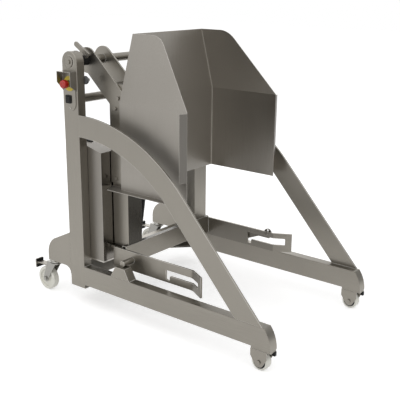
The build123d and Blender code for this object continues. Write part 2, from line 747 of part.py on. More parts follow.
def build_hub_collars():
    with BuildPart() as collars:
        for side, _ in SIDES:
            rod_x(COLLAR_D / 2, side * ARM_OUT, side * COLLAR_END, 0, PIVOT_Z)
            bore = SHAFT_D / 2 + SNUG
            rod_x(bore, side * ARM_OUT, side * COLLAR_END, 0, PIVOT_Z, Mode.SUBTRACT)
    save(collars, "hub_collars")


def arm_outline(foot_z):
    """Side view of an arm: round head, band sloping forward, strip down the upright."""
    slope = math.radians(ARM_SLOPE)
    normal = (math.sin(slope), -math.cos(slope))

    def on_edge(offset_from_axis, y):
        return (y, PIVOT_Z + (normal[0] * y - offset_from_axis) / -normal[1])

    head_top = (-normal[0] * ARM_HEAD_R, PIVOT_Z - normal[1] * ARM_HEAD_R)
    head_low = (normal[0] * ARM_BELOW, PIVOT_Z + normal[1] * ARM_BELOW)
    Polygon(
        head_top,
        on_edge(-ARM_HEAD_R, UPRIGHT_FRONT),
        (UPRIGHT_FRONT, foot_z),
        (UPRIGHT_BACK, foot_z),
        on_edge(ARM_BELOW, UPRIGHT_BACK),
        head_low,
        align=None,
    )
    with Locations((0, PIVOT_Z)):
        Circle(ARM_HEAD_R)
        Circle(SHAFT_D / 2 + SNUG, mode=Mode.SUBTRACT)


def build_outer_arm(side, word):
    with BuildPart() as arm:
        with BuildSketch(side_plane(side, UPRIGHT_OUT, ARM_OUT)):
            arm_outline(OUTER_ARM_FOOT)
            with Locations(*ARM_BOLT_PLACES):
                Circle(ARM_BOLT_D / 2 + SNUG, mode=Mode.SUBTRACT)
        extrude(amount=ARM_T)
    save(arm, f"{word}_outer_arm")


def build_inner_arms():
    with BuildPart() as arms:
        with BuildSketch(side_plane(RIGHT, UPRIGHT_IN - ARM_T, UPRIGHT_IN)):
            arm_outline(INNER_ARM_FOOT)
        extrude(amount=ARM_T)
        mirror(about=Plane.YZ)
    save(arms, "inner_arms")


def build_upright(side, word):
    """Square tube that the arms, the hood and the cross-beam are fixed to."""
    with BuildPart() as upright:
        outer_x = (side * UPRIGHT_IN, side * UPRIGHT_OUT)
        block(outer_x, (UPRIGHT_FRONT, UPRIGHT_BACK), (FORK_TOP, UPRIGHT_TOP))
        fillet(upright.edges().filter_by(Axis.Z), UPRIGHT_EDGE)
        block(outer_x, (UPRIGHT_FRONT, BEAM_BACK), (FORK_TOP, BEAM_TOP), Mode.SUBTRACT)
        hollow_x = (side * (UPRIGHT_IN + UPRIGHT_WALL), side * (UPRIGHT_OUT - UPRIGHT_WALL))
        hollow_y = (UPRIGHT_FRONT + UPRIGHT_WALL, UPRIGHT_BACK - UPRIGHT_WALL)
        block(hollow_x, hollow_y, (FORK_TOP, UPRIGHT_TOP - UPRIGHT_WALL), Mode.SUBTRACT)
        for place in ARM_BOLT_PLACES:
            wall = (side * (UPRIGHT_OUT - UPRIGHT_WALL), side * UPRIGHT_OUT)
            rod_x(ARM_BOLT_D / 2 + SNUG, *wall, *place, Mode.SUBTRACT)
    save(upright, f"{word}_upright")


def build_arm_bolts():
    with BuildPart() as bolts:
        for side, _ in SIDES:
            for place in ARM_BOLT_PLACES:
                head_out = ARM_OUT + ARM_BOLT_HEAD
                hex_head_x(ARM_BOLT_FLATS, side * ARM_OUT, side * head_out, *place)
                shank_in = UPRIGHT_OUT - UPRIGHT_WALL - ARM_BOLT_D
                rod_x(ARM_BOLT_D / 2, side * shank_in, side * ARM_OUT, *place)
    save(bolts, "arm_bolts")


def build_cross_beam():
    """Flat tube between the fork arms, with a shelf under each upright."""
    with BuildPart() as beam:
        reach = (-FORK_IN, FORK_IN)
        beam_bottom = BEAM_TOP - BEAM_HEIGHT
        block(reach, (HOOD_BACK, BEAM_BACK), (beam_bottom, BEAM_TOP))
        hollow_y = (HOOD_BACK + BEAM_WALL, BEAM_BACK - BEAM_WALL)
        hollow_z = (beam_bottom + BEAM_WALL, BEAM_TOP - BEAM_WALL)
        block(reach, hollow_y, hollow_z, Mode.SUBTRACT)
        for side, _ in SIDES:
            shelf_x = (side * UPRIGHT_IN, side * FORK_IN)
            block(shelf_x, (BEAM_BACK, UPRIGHT_BACK), (FORK_TOP - SHELF_T, FORK_TOP))
    save(beam, "cross_beam")


def build_fork_arm(side, word):
    """Plate along each side of the bin, slotted for the bin's pin and flared at the front."""
    flare = math.atan2(FLARE_OUT, FLARE_AHEAD)
    tip = (FORK_OUT + FLARE_OUT, FORK_BEND - FLARE_AHEAD)
    inner_tip = (tip[0] - FORK_T * math.cos(flare), tip[1] - FORK_T * math.sin(flare))
    inner_bend = (FORK_IN, FORK_BEND - FORK_T * math.tan(flare / 2))
    plan = [(FORK_OUT, FORK_BACK), (FORK_OUT, FORK_BEND), tip, inner_tip, inner_bend, (FORK_IN, FORK_BACK)]
    with BuildPart() as arm:
        with BuildSketch(Plane.XY.offset(FORK_BOTTOM)) as outline:
            Polygon(*[(side * x, y) for x, y in plan], align=None)
            hollow, crown = [
                outline.vertices().sort_by_distance((side * x, y))[0] for x, y in (plan[1], inner_bend)
            ]
            fillet(hollow, FLARE_RADIUS)
            fillet(crown, FLARE_RADIUS + FORK_T)
        extrude(amount=FORK_HEIGHT)
        slot_bottom = FORK_BOTTOM + SLOT_LIFT
        slot_top = slot_bottom + SLOT_HEIGHT
        if side == RIGHT:
            slot_top += LATCH_SLOT_RISE
        slot_front = tip[1] + SLOT_END_BAR
        pocket_front = SLOT_BACK - POCKET_LENGTH
        with BuildSketch(side_plane(side, FORK_IN, tip[0])) as slot:
            Polygon(
                (slot_front, slot_bottom),
                (slot_front, slot_top),
                (SLOT_BACK, slot_top),
                (SLOT_BACK, slot_bottom - POCKET_DEPTH),
                (pocket_front, slot_bottom - POCKET_DEPTH),
                (pocket_front, slot_bottom),
                align=None,
            )
            fillet(slot.vertices(), SLOT_CORNER)
        extrude(amount=tip[0] - FORK_IN, mode=Mode.SUBTRACT)
        if side == RIGHT:
            latch_hole = LATCH_PIN_D / 2 + RUNNING
            rod_x(latch_hole, FORK_IN, FORK_OUT, LATCH_Y, FORK_TOP - LATCH_DROP, Mode.SUBTRACT)
    save(arm, f"{word}_fork_arm")


def build_rest_stubs():
    with BuildPart() as stubs:
        for side, _ in SIDES:
            rod_x(STUB_D / 2, side * FORK_OUT, side * (FORK_OUT + STUB_LENGTH), PEDESTAL_Y, STUB_Z)
    save(stubs, "rest_stubs")


def build_fork_latch():
    """Lobe and hooked bar outside the right fork arm that close over the slot's pocket."""
    pin_z = FORK_TOP - LATCH_DROP
    latch_in = FORK_OUT + REST_GAP
    slot_bottom = FORK_BOTTOM + SLOT_LIFT
    bar_bottom = slot_bottom + SLOT_HEIGHT
    bar_back = LATCH_Y + LATCH_REACH
    with BuildPart() as latch:
        with BuildSketch(Plane.YZ.offset(latch_in)):
            with Locations((LATCH_Y, pin_z)):
                Circle(LATCH_LOBE_R)
            Polygon(
                (LATCH_Y - LATCH_LOBE_R / 2, bar_bottom),
                (bar_back - LATCH_HOOK_LENGTH, bar_bottom),
                (bar_back, slot_bottom - LATCH_HOOK_LAP),
                (bar_back, bar_bottom + LATCH_BAR),
                (LATCH_Y + LATCH_LOBE_R, bar_bottom + LATCH_BAR),
                (LATCH_Y, pin_z),
                (LATCH_Y - LATCH_LOBE_R, pin_z),
                align=None,
            )
            with Locations((LATCH_Y, pin_z + LATCH_EYE_RISE)):
                Circle(LATCH_EYE_D / 2, mode=Mode.SUBTRACT)
        extrude(amount=LATCH_T)
        head_out = FORK_IN - REST_GAP
        rod_x(LATCH_PIN_D / 2, head_out, latch_in, LATCH_Y, pin_z)
        rod_x(LATCH_HEAD_D / 2, head_out - LATCH_HEAD_T, head_out, LATCH_Y, pin_z)
    save(latch, "fork_latch")


def build_hood_back():
    inner = HOOD_HALF - HOOD_T
    top_inner = HOOD_TOP_HALF - HOOD_T / math.cos(hood_lean())
    crease = HOOD_CREASE - HOOD_T * math.tan(hood_lean() / 2)
    with BuildPart() as back:
        with BuildSketch(Plane.XZ.offset(-UPRIGHT_FRONT)):
            Polygon(
                (-inner, HOOD_BOTTOM),
                (inner, HOOD_BOTTOM),
                (inner, crease),
                (top_inner, HOOD_TOP),
                (-top_inner, HOOD_TOP),
                (-inner, crease),
                align=None,
            )
        extrude(amount=HOOD_T)
    save(back, "hood_back")


def hood_lean():
    """Angle by which the hood's sides lean in above the crease, in radians."""
    return math.atan2(HOOD_HALF - HOOD_TOP_HALF, HOOD_TOP - HOOD_CREASE)


def build_hood_side(side, word):
    """Folded side sheet with a stiffening flange in front and a bracket to the arm."""
    inner = HOOD_HALF - HOOD_T
    inner_crease = HOOD_CREASE - HOOD_T * math.tan(hood_lean() / 2)
    top_inner = HOOD_TOP_HALF - HOOD_T / math.cos(hood_lean())
    section = [
        (HOOD_HALF, HOOD_BOTTOM),
        (HOOD_HALF, HOOD_CREASE),
        (HOOD_TOP_HALF, HOOD_TOP),
        (top_inner, HOOD_TOP),
        (inner, inner_crease),
        (inner, HOOD_BOTTOM),
    ]
    with BuildPart() as sheet:
        with BuildSketch(Plane.XZ.offset(-UPRIGHT_FRONT)):
            Polygon(*[(side * x, z) for x, z in section], align=None)
        extrude(amount=UPRIGHT_FRONT - HOOD_FRONT)
        with BuildSketch(side_plane(side, 0, HOOD_HALF)) as outline:
            Polygon(
                (UPRIGHT_FRONT, HOOD_BOTTOM),
                (HOOD_FRONT, HOOD_BOTTOM),
                (HOOD_FRONT, HOOD_CREASE),
                (HOOD_TOP_FRONT, HOOD_TOP),
                (UPRIGHT_FRONT, HOOD_TOP),
                align=None,
            )
            fillet(outline.vertices().group_by(Axis.Y)[-1].sort_by(Axis.X)[0], HOOD_TOP_CORNER)
        extrude(amount=HOOD_HALF, mode=Mode.INTERSECT)
        slant = math.hypot(FLANGE_OUT, FLANGE_BACK)
        flange_tip = (HOOD_HALF + FLANGE_OUT, HOOD_FRONT + FLANGE_BACK)
        flange = [
            (HOOD_HALF, HOOD_FRONT),
            flange_tip,
            (flange_tip[0] - HOOD_T * FLANGE_BACK / slant, flange_tip[1] + HOOD_T * FLANGE_OUT / slant),
            (HOOD_HALF, HOOD_FRONT + HOOD_T * slant / FLANGE_OUT),
        ]
        with BuildSketch(Plane.XY.offset(FLANGE_BOTTOM)):
            Polygon(*[(side * x, y) for x, y in flange], align=None)
        extrude(amount=HOOD_CREASE - FLANGE_CREASE_GAP - FLANGE_BOTTOM)
        bracket = [
            (HOOD_HALF, BRACKET_FRONT),
            (HOOD_HALF + BRACKET_OUT, BRACKET_FRONT),
            (HOOD_HALF + BRACKET_OUT, BRACKET_BEND),
            (ARM_OUT, BRACKET_BACK),
            (ARM_OUT, UPRIGHT_FRONT),
            (HOOD_HALF, UPRIGHT_FRONT),
        ]
        with BuildSketch(Plane.XY.offset(HOOD_BOTTOM)):
            Polygon(*[(side * x, y) for x, y in bracket], align=None)
        extrude(amount=HOOD_T)
    save(sheet, f"{word}_hood_side")


def build_trip_lever():
    """Flat bar with a saddle on the left collar, read by the limit sensor."""
    angle = math.radians(LEVER_ANGLE)
    along = (math.cos(angle), math.sin(angle))
    across = (-math.sin(angle), math.cos(angle))

    def place(distance, height):
        return (
            along[0] * distance + across[0] * height,
            PIVOT_Z + along[1] * distance + across[1] * height,
        )

    low = LEVER_OFFSET - LEVER_WIDTH / 2
    high = LEVER_OFFSET + LEVER_WIDTH / 2
    tip_centre = LEVER_BEHIND - LEVER_WIDTH / 2
    saddle = LEVER_SADDLE / 2
    with BuildPart() as lever:
        with BuildSketch(side_plane(LEFT, LEVER_IN, LEVER_IN + LEVER_T)):
            Polygon(
                place(-LEVER_AHEAD, low),
                place(-saddle, low),
                place(-saddle, 0),
                place(saddle, 0),
                place(saddle, low),
                place(tip_centre, low),
                place(tip_centre, high),
                place(-LEVER_AHEAD, high),
                align=None,
            )
            with Locations(place(tip_centre, LEVER_OFFSET)):
                Circle(LEVER_WIDTH / 2)
            with Locations(place(0, LEVER_OFFSET)):
                Circle(LEVER_HOLE_D / 2, mode=Mode.SUBTRACT)
            with Locations((0, PIVOT_Z)):
                Circle(COLLAR_D / 2 + SNUG, mode=Mode.SUBTRACT)
        extrude(amount=LEVER_T)
    save(lever, "trip_lever")


# Hydraulic cylinder


def build_cylinder_bracket():
    """Plate on the rear cross member with two ears and the cylinder's lower pin."""
    ear_in = EYE_W / 2 + SIDE_GAP
    ear_out = ear_in + EAR_T
    pin_y = CYLINDER_BASE.Y
    pin_z = CYLINDER_BASE.Z
    with BuildPart() as bracket:
        plate_y = (pin_y - EAR_PLATE_L / 2, pin_y + EAR_PLATE_L / 2)
        block((-ear_out - EAR_T, ear_out + EAR_T), plate_y, (LEG_TOP, LEG_TOP + EAR_PLATE_T))
        for side, _ in SIDES:
            with BuildSketch(side_plane(side, ear_in, ear_out)):
                with Locations((pin_y, pin_z)):
                    Circle(BASE_EAR_R)
                with Locations((pin_y, (LEG_TOP + pin_z) / 2)):
                    Rectangle(2 * BASE_EAR_R, pin_z - LEG_TOP)
            extrude(amount=EAR_T)
        head_out = ear_out + PIN_HEAD_T
        rod_x(CYLINDER_PIN_D / 2, -ear_out, ear_out, pin_y, pin_z)
        for side, _ in SIDES:
            rod_x(PIN_HEAD_D / 2, side * ear_out, side * head_out, pin_y, pin_z)
    save(bracket, "cylinder_bracket")


def build_cylinder_barrel():
    with BuildPart() as barrel:
        with BuildSketch(CYLINDER_PLANE.offset(BARREL_EYE_R / 2)):
            Circle(BARREL_D / 2)
        extrude(amount=BARREL_LENGTH - BARREL_EYE_R / 2)
        eye_place = (CYLINDER_BASE.Y, CYLINDER_BASE.Z)
        side_room = EYE_W / 2
        eye_clear = side_room + BARREL_D
        block((side_room, eye_clear), *eye_cut(), Mode.SUBTRACT)
        block((-eye_clear, -side_room), *eye_cut(), Mode.SUBTRACT)
        rod_x(BARREL_EYE_R, -side_room, side_room, *eye_place)
        rod_x(CYLINDER_PIN_D / 2 + RUNNING, -side_room, side_room, *eye_place, Mode.SUBTRACT)
        with BuildSketch(CYLINDER_PLANE.offset(BARREL_FLOOR)):
            Circle(BARREL_BORE / 2)
        extrude(amount=BARREL_LENGTH - GLAND_LENGTH - BARREL_FLOOR, mode=Mode.SUBTRACT)
        with BuildSketch(CYLINDER_PLANE.offset(BARREL_LENGTH - GLAND_LENGTH)):
            Circle(ROD_D / 2 + RUNNING)
        extrude(amount=GLAND_LENGTH, mode=Mode.SUBTRACT)
    save(barrel, "cylinder_barrel")


def eye_cut():
    """Y and Z limits of the room for the bracket's ears beside the barrel's eye."""
    reach = BASE_EAR_R + EYE_ROOM
    base = CYLINDER_BASE
    return (base.Y - BARREL_D, base.Y + BARREL_D), (base.Z - reach, base.Z + reach)


def build_cylinder_rod():
    length = CYLINDER_AXIS.length
    with BuildPart() as rod:
        with BuildSketch(CYLINDER_PLANE.offset(PISTON_START)):
            Circle(BARREL_BORE / 2 - RUNNING)
        extrude(amount=PISTON_LENGTH)
        with BuildSketch(CYLINDER_PLANE.offset(PISTON_START + PISTON_LENGTH)):
            Circle(ROD_D / 2)
        extrude(amount=length - PISTON_START - PISTON_LENGTH - EYE_R / 2)
        place = (CYLINDER_TOP.Y, CYLINDER_TOP.Z)
        rod_x(EYE_R, -EYE_W / 2, EYE_W / 2, *place)
        rod_x(CYLINDER_PIN_D / 2 + RUNNING, -EYE_W / 2, EYE_W / 2, *place, Mode.SUBTRACT)
    save(rod, "cylinder_rod")


def build_cylinder_crossbar():
    """Square tube between the uprights with the two lugs that the rod's eye meets."""
    lug_in = EYE_W / 2 + SIDE_GAP
    lug_out = lug_in + EAR_T
    pin_y = CYLINDER_TOP.Y
    pin_z = CYLINDER_TOP.Z
    bar_y = (UPRIGHT_BACK - CROSSBAR_SIDE, UPRIGHT_BACK)
    bar_z = (pin_z - CROSSBAR_SIDE / 2, pin_z + CROSSBAR_SIDE / 2)
    with BuildPart() as crossbar:
        reach = (-UPRIGHT_IN, UPRIGHT_IN)
        block(reach, bar_y, bar_z)
        hollow_y = (bar_y[0] + CROSSBAR_WALL, bar_y[1] - CROSSBAR_WALL)
        hollow_z = (bar_z[0] + CROSSBAR_WALL, bar_z[1] - CROSSBAR_WALL)
        block(reach, hollow_y, hollow_z, Mode.SUBTRACT)
        for side, _ in SIDES:
            with BuildSketch(side_plane(side, lug_in, lug_out)):
                with Locations((pin_y, pin_z)):
                    Circle(LUG_R)
                with Locations(((UPRIGHT_BACK + pin_y) / 2, pin_z)):
                    Rectangle(pin_y - UPRIGHT_BACK, 2 * LUG_R)
            extrude(amount=EAR_T)
            head_out = lug_out + PIN_HEAD_T
            rod_x(PIN_HEAD_D / 2, side * lug_out, side * head_out, pin_y, pin_z)
    save(crossbar, "cylinder_crossbar")


# Power unit


def box_outline():
    rise = (BOX_BACK - BOX_FRONT) * math.tan(math.radians(BOX_TOP_SLOPE))
    Polygon(
        (BOX_FRONT, BOX_BOTTOM),
        (BOX_BACK, BOX_BOTTOM),
        (BOX_BACK, BOX_FRONT_TOP + rise),
        (BOX_FRONT, BOX_FRONT_TOP),
        align=None,
    )


def build_power_box():
    """Sheet-metal case on the inside of the left post, open towards its cover."""
    with BuildPart() as box:
        with BuildSketch(side_plane(LEFT, BOX_IN + BOX_WALL, POST_IN)):
            box_outline()
        extrude(amount=POST_IN - BOX_IN - BOX_WALL)
        offset(amount=-BOX_WALL, openings=box.faces().sort_by(Axis.X)[-1])
    save(box, "power_box")


def cover_screw_places():
    """Y and Z of the cover's four screws."""
    ys = (BOX_FRONT + SCREW_INSET, BOX_BACK - SCREW_INSET)
    zs = (BOX_BOTTOM + SCREW_INSET, BOX_FRONT_TOP - SCREW_INSET)
    return [(y, z) for y in ys for z in zs]


def build_power_box_cover():
    with BuildPart() as cover:
        with BuildSketch(side_plane(LEFT, BOX_IN, BOX_IN + BOX_WALL)):
            box_outline()
            with Locations(*cover_screw_places()):
                Circle(SCREW_D / 2 + SNUG, mode=Mode.SUBTRACT)
        extrude(amount=BOX_WALL)
    save(cover, "power_box_cover")


def unit_width():
    """X limits of what stands inside the power box."""
    return -POST_IN + BOX_WALL, -BOX_IN - BOX_WALL - INNER_GAP


def build_pump_motor():
    """Pump block on the box's floor with the electric motor on top."""
    floor = BOX_BOTTOM + BOX_WALL
    x_range = unit_width()
    x_mid = sum(x_range) / 2
    with BuildPart() as motor:
        block(x_range, (MOTOR_Y - PUMP_DEPTH / 2, MOTOR_Y + PUMP_DEPTH / 2), (floor, floor + PUMP_HEIGHT))
        with Locations((x_mid, MOTOR_Y, floor + PUMP_HEIGHT + MOTOR_LENGTH / 2)):
            Cylinder(min(MOTOR_D, x_range[1] - x_range[0]) / 2, MOTOR_LENGTH)
    save(motor, "pump_motor")


def build_oil_tank():
    floor = BOX_BOTTOM + BOX_WALL
    x_low, x_high = unit_width()
    front = TANK_Y - TANK_DEPTH / 2
    back = TANK_Y + TANK_DEPTH / 2
    top = floor + TANK_HEIGHT
    with BuildPart() as tank:
        block((x_low, x_high), (front, back), (floor, top))
        block(
            (x_low + BOX_WALL, x_high - BOX_WALL),
            (front + BOX_WALL, back - BOX_WALL),
            (floor + BOX_WALL, top - BOX_WALL),
            Mode.SUBTRACT,
        )
    save(tank, "oil_tank")


# Controls on the left post


def build_control_plate():
    with BuildPart() as plate:
        with BuildSketch(side_plane(LEFT, POST_OUT, PANEL_OUT)):
            with Locations((0, (PANEL_LOW_Z + ESTOP_Z) / 2)):
                SlotCenterToCenter(ESTOP_Z - PANEL_LOW_Z, PANEL_W, rotation=90)
            with Locations((0, ESTOP_Z)):
                Circle(ESTOP_NECK_D / 2 + SNUG, mode=Mode.SUBTRACT)
            with Locations((0, PANEL_SCREW_Z)):
                Circle(SCREW_D / 2 + SNUG, mode=Mode.SUBTRACT)
        extrude(amount=PANEL_T)
        block((-PANEL_OUT, -POST_OUT), *switch_cutout(), Mode.SUBTRACT)
    save(plate, "control_plate")


def build_estop_base():
    """Disc and collar on the plate, with a neck through the post to the contact block."""
    disc_out = PANEL_OUT + ESTOP_DISC_T
    collar_out = disc_out + ESTOP_COLLAR_L
    inside = POST_OUT - TUBE_WALL
    with BuildPart() as base:
        rod_x(ESTOP_DISC_D / 2, -disc_out, -PANEL_OUT, 0, ESTOP_Z)
        rod_x(ESTOP_COLLAR_D / 2, -collar_out, -disc_out, 0, ESTOP_Z)
        rod_x(ESTOP_NECK_D / 2, -PANEL_OUT, -inside, 0, ESTOP_Z)
        half = CONTACT_SIDE / 2
        block((-inside, -inside + CONTACT_L), (-half, half), (ESTOP_Z - half, ESTOP_Z + half))
        stem_hole = ESTOP_STEM_D / 2 + RUNNING
        rod_x(stem_hole, -collar_out, -POST_OUT, 0, ESTOP_Z, Mode.SUBTRACT)
    save(base, "estop_base")


def build_estop_button():
    """Mushroom head on a stem that slides in the base."""
    head_in = PANEL_OUT + ESTOP_DISC_T + ESTOP_COLLAR_L + ESTOP_TRAVEL + SIDE_GAP
    head_out = head_in + ESTOP_HEAD_L
    stem_in = POST_OUT + ESTOP_TRAVEL + SIDE_GAP
    with BuildPart() as button:
        rod_x(ESTOP_HEAD_D / 2, -head_out, -head_in, 0, ESTOP_Z)
        fillet(button.faces().sort_by(Axis.X)[0].edges(), ESTOP_HEAD_EDGE)
        rod_x(ESTOP_STEM_D / 2, -head_in, -stem_in, 0, ESTOP_Z)
    save(button, "estop_button")


def build_estop_guard():
    """Bent sheet over the emergency stop, with a deep rear cheek and a small front one."""
    outer = POST_OUT + GUARD_OUT
    with BuildPart() as guard:
        block((-outer, -POST_OUT), (GUARD_FRONT, POST_BACK), (GUARD_TOP - GUARD_T, GUARD_TOP))
        with BuildSketch(Plane.XZ.offset(-POST_BACK)):
            Polygon(
                (-POST_OUT, GUARD_TOP),
                (-outer, GUARD_TOP),
                (-outer, GUARD_TOP - GUARD_BACK_LIP),
                (-POST_OUT, GUARD_TOP - GUARD_FOOT),
                align=None,
            )
        extrude(amount=GUARD_T)
        with BuildSketch(Plane.XZ.offset(-GUARD_FRONT - GUARD_T)):
            Polygon(
                (-POST_OUT, GUARD_TOP),
                (-outer, GUARD_TOP),
                (-outer, GUARD_TOP - GUARD_FRONT_LIP),
                (-POST_OUT, GUARD_TOP - GUARD_FOOT),
                align=None,
            )
        extrude(amount=GUARD_T)
    save(guard, "estop_guard")


def switch_inside():
    """Y and Z limits of the switch's inside."""
    half_w = SWITCH_W / 2 - SWITCH_LIP - SWITCH_WALL
    half_h = SWITCH_H / 2 - SWITCH_LIP - SWITCH_WALL
    return (SWITCH_Y - half_w, SWITCH_Y + half_w), (SWITCH_Z - half_h, SWITCH_Z + half_h)


def rocker_pin_x():
    """X of the rocker's pin, halfway through the rocker."""
    return -(PANEL_OUT + SWITCH_RIM_T + ROCKER_PROUD - ROCKER_T / 2)


def build_switch_frame():
    """Rim on the plate and a hollow body through the post's wall."""
    rim_out = PANEL_OUT + SWITCH_RIM_T
    inside_y, inside_z = switch_inside()
    body_y = (inside_y[0] - SWITCH_WALL, inside_y[1] + SWITCH_WALL)
    body_z = (inside_z[0] - SWITCH_WALL, inside_z[1] + SWITCH_WALL)
    with BuildPart() as switch:
        rim_y = (SWITCH_Y - SWITCH_W / 2, SWITCH_Y + SWITCH_W / 2)
        rim_z = (SWITCH_Z - SWITCH_H / 2, SWITCH_Z + SWITCH_H / 2)
        block((-rim_out, -PANEL_OUT), rim_y, rim_z)
        fillet(switch.edges().filter_by(Axis.X), SWITCH_CORNER)
        body_in = -rim_out + SWITCH_DEPTH
        block((-PANEL_OUT, body_in), body_y, body_z)
        block((-rim_out, body_in - SWITCH_WALL), inside_y, inside_z, Mode.SUBTRACT)
        with Locations((rocker_pin_x(), SWITCH_Y, SWITCH_Z)):
            length = body_y[1] - body_y[0]
            Cylinder(ROCKER_PIN_D / 2 + RUNNING, length, rotation=(90, 0, 0), mode=Mode.SUBTRACT)
    save(switch, "switch_frame")


def build_rocker_switch():
    inside_y, inside_z = switch_inside()
    pin_x = rocker_pin_x()
    with BuildPart() as rocker:
        rocker_y = (inside_y[0] + SIDE_GAP, inside_y[1] - SIDE_GAP)
        rocker_z = (inside_z[0] + SIDE_GAP, inside_z[1] - SIDE_GAP)
        block((pin_x - ROCKER_T / 2, pin_x + ROCKER_T / 2), rocker_y, rocker_z)
        fillet(rocker.edges().filter_by(Axis.Y).group_by(Axis.X)[0], ROCKER_PROUD)
        with Locations((pin_x, SWITCH_Y, SWITCH_Z)):
            length = inside_y[1] - inside_y[0] + 2 * (SWITCH_WALL - RUNNING)
            Cylinder(ROCKER_PIN_D / 2, length, rotation=(90, 0, 0))
    save(rocker, "rocker_switch")


def build_limit_sensor():
    """Round sensor on the left post's inner face, aimed at the trip lever."""
    with BuildPart() as sensor:
        rod_x(SENSOR_D / 2, -POST_IN, -POST_IN + SENSOR_T, SENSOR_Y, SENSOR_Z)
        nose_tip = -(LEVER_IN + LEVER_T + SENSOR_GAP)
        rod_x(SENSOR_NOSE_D / 2, -POST_IN + SENSOR_T, nose_tip, SENSOR_Y, SENSOR_Z)
    save(sensor, "limit_sensor")


def build_frame_screws():
    """Screws of the control plate and of the power box's cover."""
    with BuildPart() as screws:
        plate_place = (0, PANEL_SCREW_Z)
        rod_x(SCREW_HEAD_D / 2, -PANEL_OUT - SCREW_HEAD_T, -PANEL_OUT, *plate_place)
        rod_x(SCREW_D / 2, -PANEL_OUT, -PANEL_OUT + SCREW_LENGTH, *plate_place)
        for place in cover_screw_places():
            head_in = -BOX_IN
            rod_x(SCREW_HEAD_D / 2, head_in, head_in + SCREW_HEAD_T, *place)
            rod_x(SCREW_D / 2, head_in - SCREW_LENGTH, head_in, *place)
    save(screws, "frame_screws")


for side, word in SIDES:
    build_post(side, word)
    build_leg(side, word)
    build_brace(side, word)
    build_rear_foot(side, word)
    build_front_fork(side, word)
    build_swivel_fork(side, word)
    build_brake_pedal(side, word)
    build_outer_arm(side, word)
    build_upright(side, word)
    build_fork_arm(side, word)
    build_hood_side(side, word)
    build_front_wheel(side, word)
    build_rear_wheel(side, word)

build_pivot_bearings()
build_pedestals()
build_cross_tube()
build_rear_cross_member()
build_corner_gussets()
build_front_axles()
build_front_bumpers()
build_swivel_plates()
build_pivot_shaft()
build_axle_bolts()
build_hub_collars()
build_inner_arms()
build_arm_bolts()
build_cross_beam()
build_rest_stubs()
build_fork_latch()
build_hood_back()
build_trip_lever()
build_cylinder_bracket()
build_cylinder_barrel()
build_cylinder_rod()
build_cylinder_crossbar()
build_power_box()
build_power_box_cover()
build_pump_motor()
build_oil_tank()
build_control_plate()
build_estop_base()
build_estop_button()
build_estop_guard()
build_switch_frame()
build_rocker_switch()
build_limit_sensor()
build_frame_screws()
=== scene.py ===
"""Finishes, fasteners, welds and studio for a column bin dumper, dressed over its packed steel frame."""

import json
import math

import bmesh
import bpy
from bpy.props import FloatProperty, FloatVectorProperty, IntProperty, PointerProperty
from mathutils import Matrix, Vector


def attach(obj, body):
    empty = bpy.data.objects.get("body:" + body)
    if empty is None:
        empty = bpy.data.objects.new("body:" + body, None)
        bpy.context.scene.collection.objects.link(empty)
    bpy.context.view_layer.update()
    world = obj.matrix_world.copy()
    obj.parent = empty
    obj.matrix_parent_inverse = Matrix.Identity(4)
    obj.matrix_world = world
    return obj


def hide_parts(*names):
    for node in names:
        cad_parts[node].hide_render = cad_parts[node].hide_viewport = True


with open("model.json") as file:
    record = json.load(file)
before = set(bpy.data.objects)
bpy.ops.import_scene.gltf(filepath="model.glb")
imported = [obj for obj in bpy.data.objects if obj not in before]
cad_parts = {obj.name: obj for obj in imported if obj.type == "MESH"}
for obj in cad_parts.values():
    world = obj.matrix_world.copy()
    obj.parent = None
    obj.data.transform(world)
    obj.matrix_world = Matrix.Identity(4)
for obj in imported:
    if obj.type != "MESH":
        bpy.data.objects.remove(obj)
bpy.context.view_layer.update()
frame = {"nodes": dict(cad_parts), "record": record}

bl_info = {
    "name": "Bin dumper dressing",
    "version": (1, 0, 0),
    "blender": (4, 5, 0),
    "location": "View3D > Sidebar > Bin dumper",
    "description": "Dresses the packed bin dumper with finishes, welds, fasteners and a studio",
    "category": "Object",
}

MM = 0.001
SIDES = (("left", -1.0), ("right", 1.0))

# Ways that faces look
UP = Vector((0, 0, 1))
TO_FRONT = Vector((0, -1, 0))
TO_LEFT = Vector((-1, 0, 0))
FLANGE_OUT = Vector((-0.394, -0.919, 0))

# Places of the frame in millimetres
PIVOT_Z = 1228.0
AXLE_END_X = 434.5
FOOT_FACES_X = (385.6, 432.4)
FOOT_SEAM_Y = 50.0
FOOT_SEAM_Z = 145.0
ARM_FACE_X = 320.0
ARM_BOLTS = ((-205.0, 1064.0), (-185.0, 1013.0), (-179.0, 668.0))
HOOD_CORNER_X = 350.2
HOOD_FOOT_Z = 628.0
HOOD_BEND_Z = 1051.0
HOOD_LEAN_X = 97.0
HOOD_LEAN_Z = 309.0
CYLINDER_FOOT = (0.0, 12.0, 240.0)
CYLINDER_HEAD = (0.0, -105.0, 975.0)
PORT_HEIGHTS = (72.0, 574.0)
BOX_X = -324.0
BOX_Y = -49.0
BOX_HEM_Z = 236.2
BOX_TOP_SLOPE = math.radians(14)
GROMMET_FOOT = (BOX_X, -5.0, 834.2)
COVER_X = -264.0
COVER_SCREWS = ((-129.0, 250.0), (-129.0, 786.0), (31.0, 250.0), (31.0, 786.0))
LOUVRE_ROWS = 7
LOUVRE_STEP = 24.0
LOUVRE_Z = 330.0
PLATE_SCREW = (-437.0, 0.0, 1010.0)
ESTOP_COLLAR = (-440.0, 0.0, 1127.0)
ESTOP_HEAD = (-456.0, 0.0, 1127.0)
SENSOR_FOOT = (-384.0, -45.0, 1141.0)
CASTOR_X = 409.0
SWIVEL_Y = 195.0
PEDAL_PADS_Z = (108.5, 139.5)
FRONT_AXLE_Y = -1119.0
FRONT_AXLE_Z = 40.0

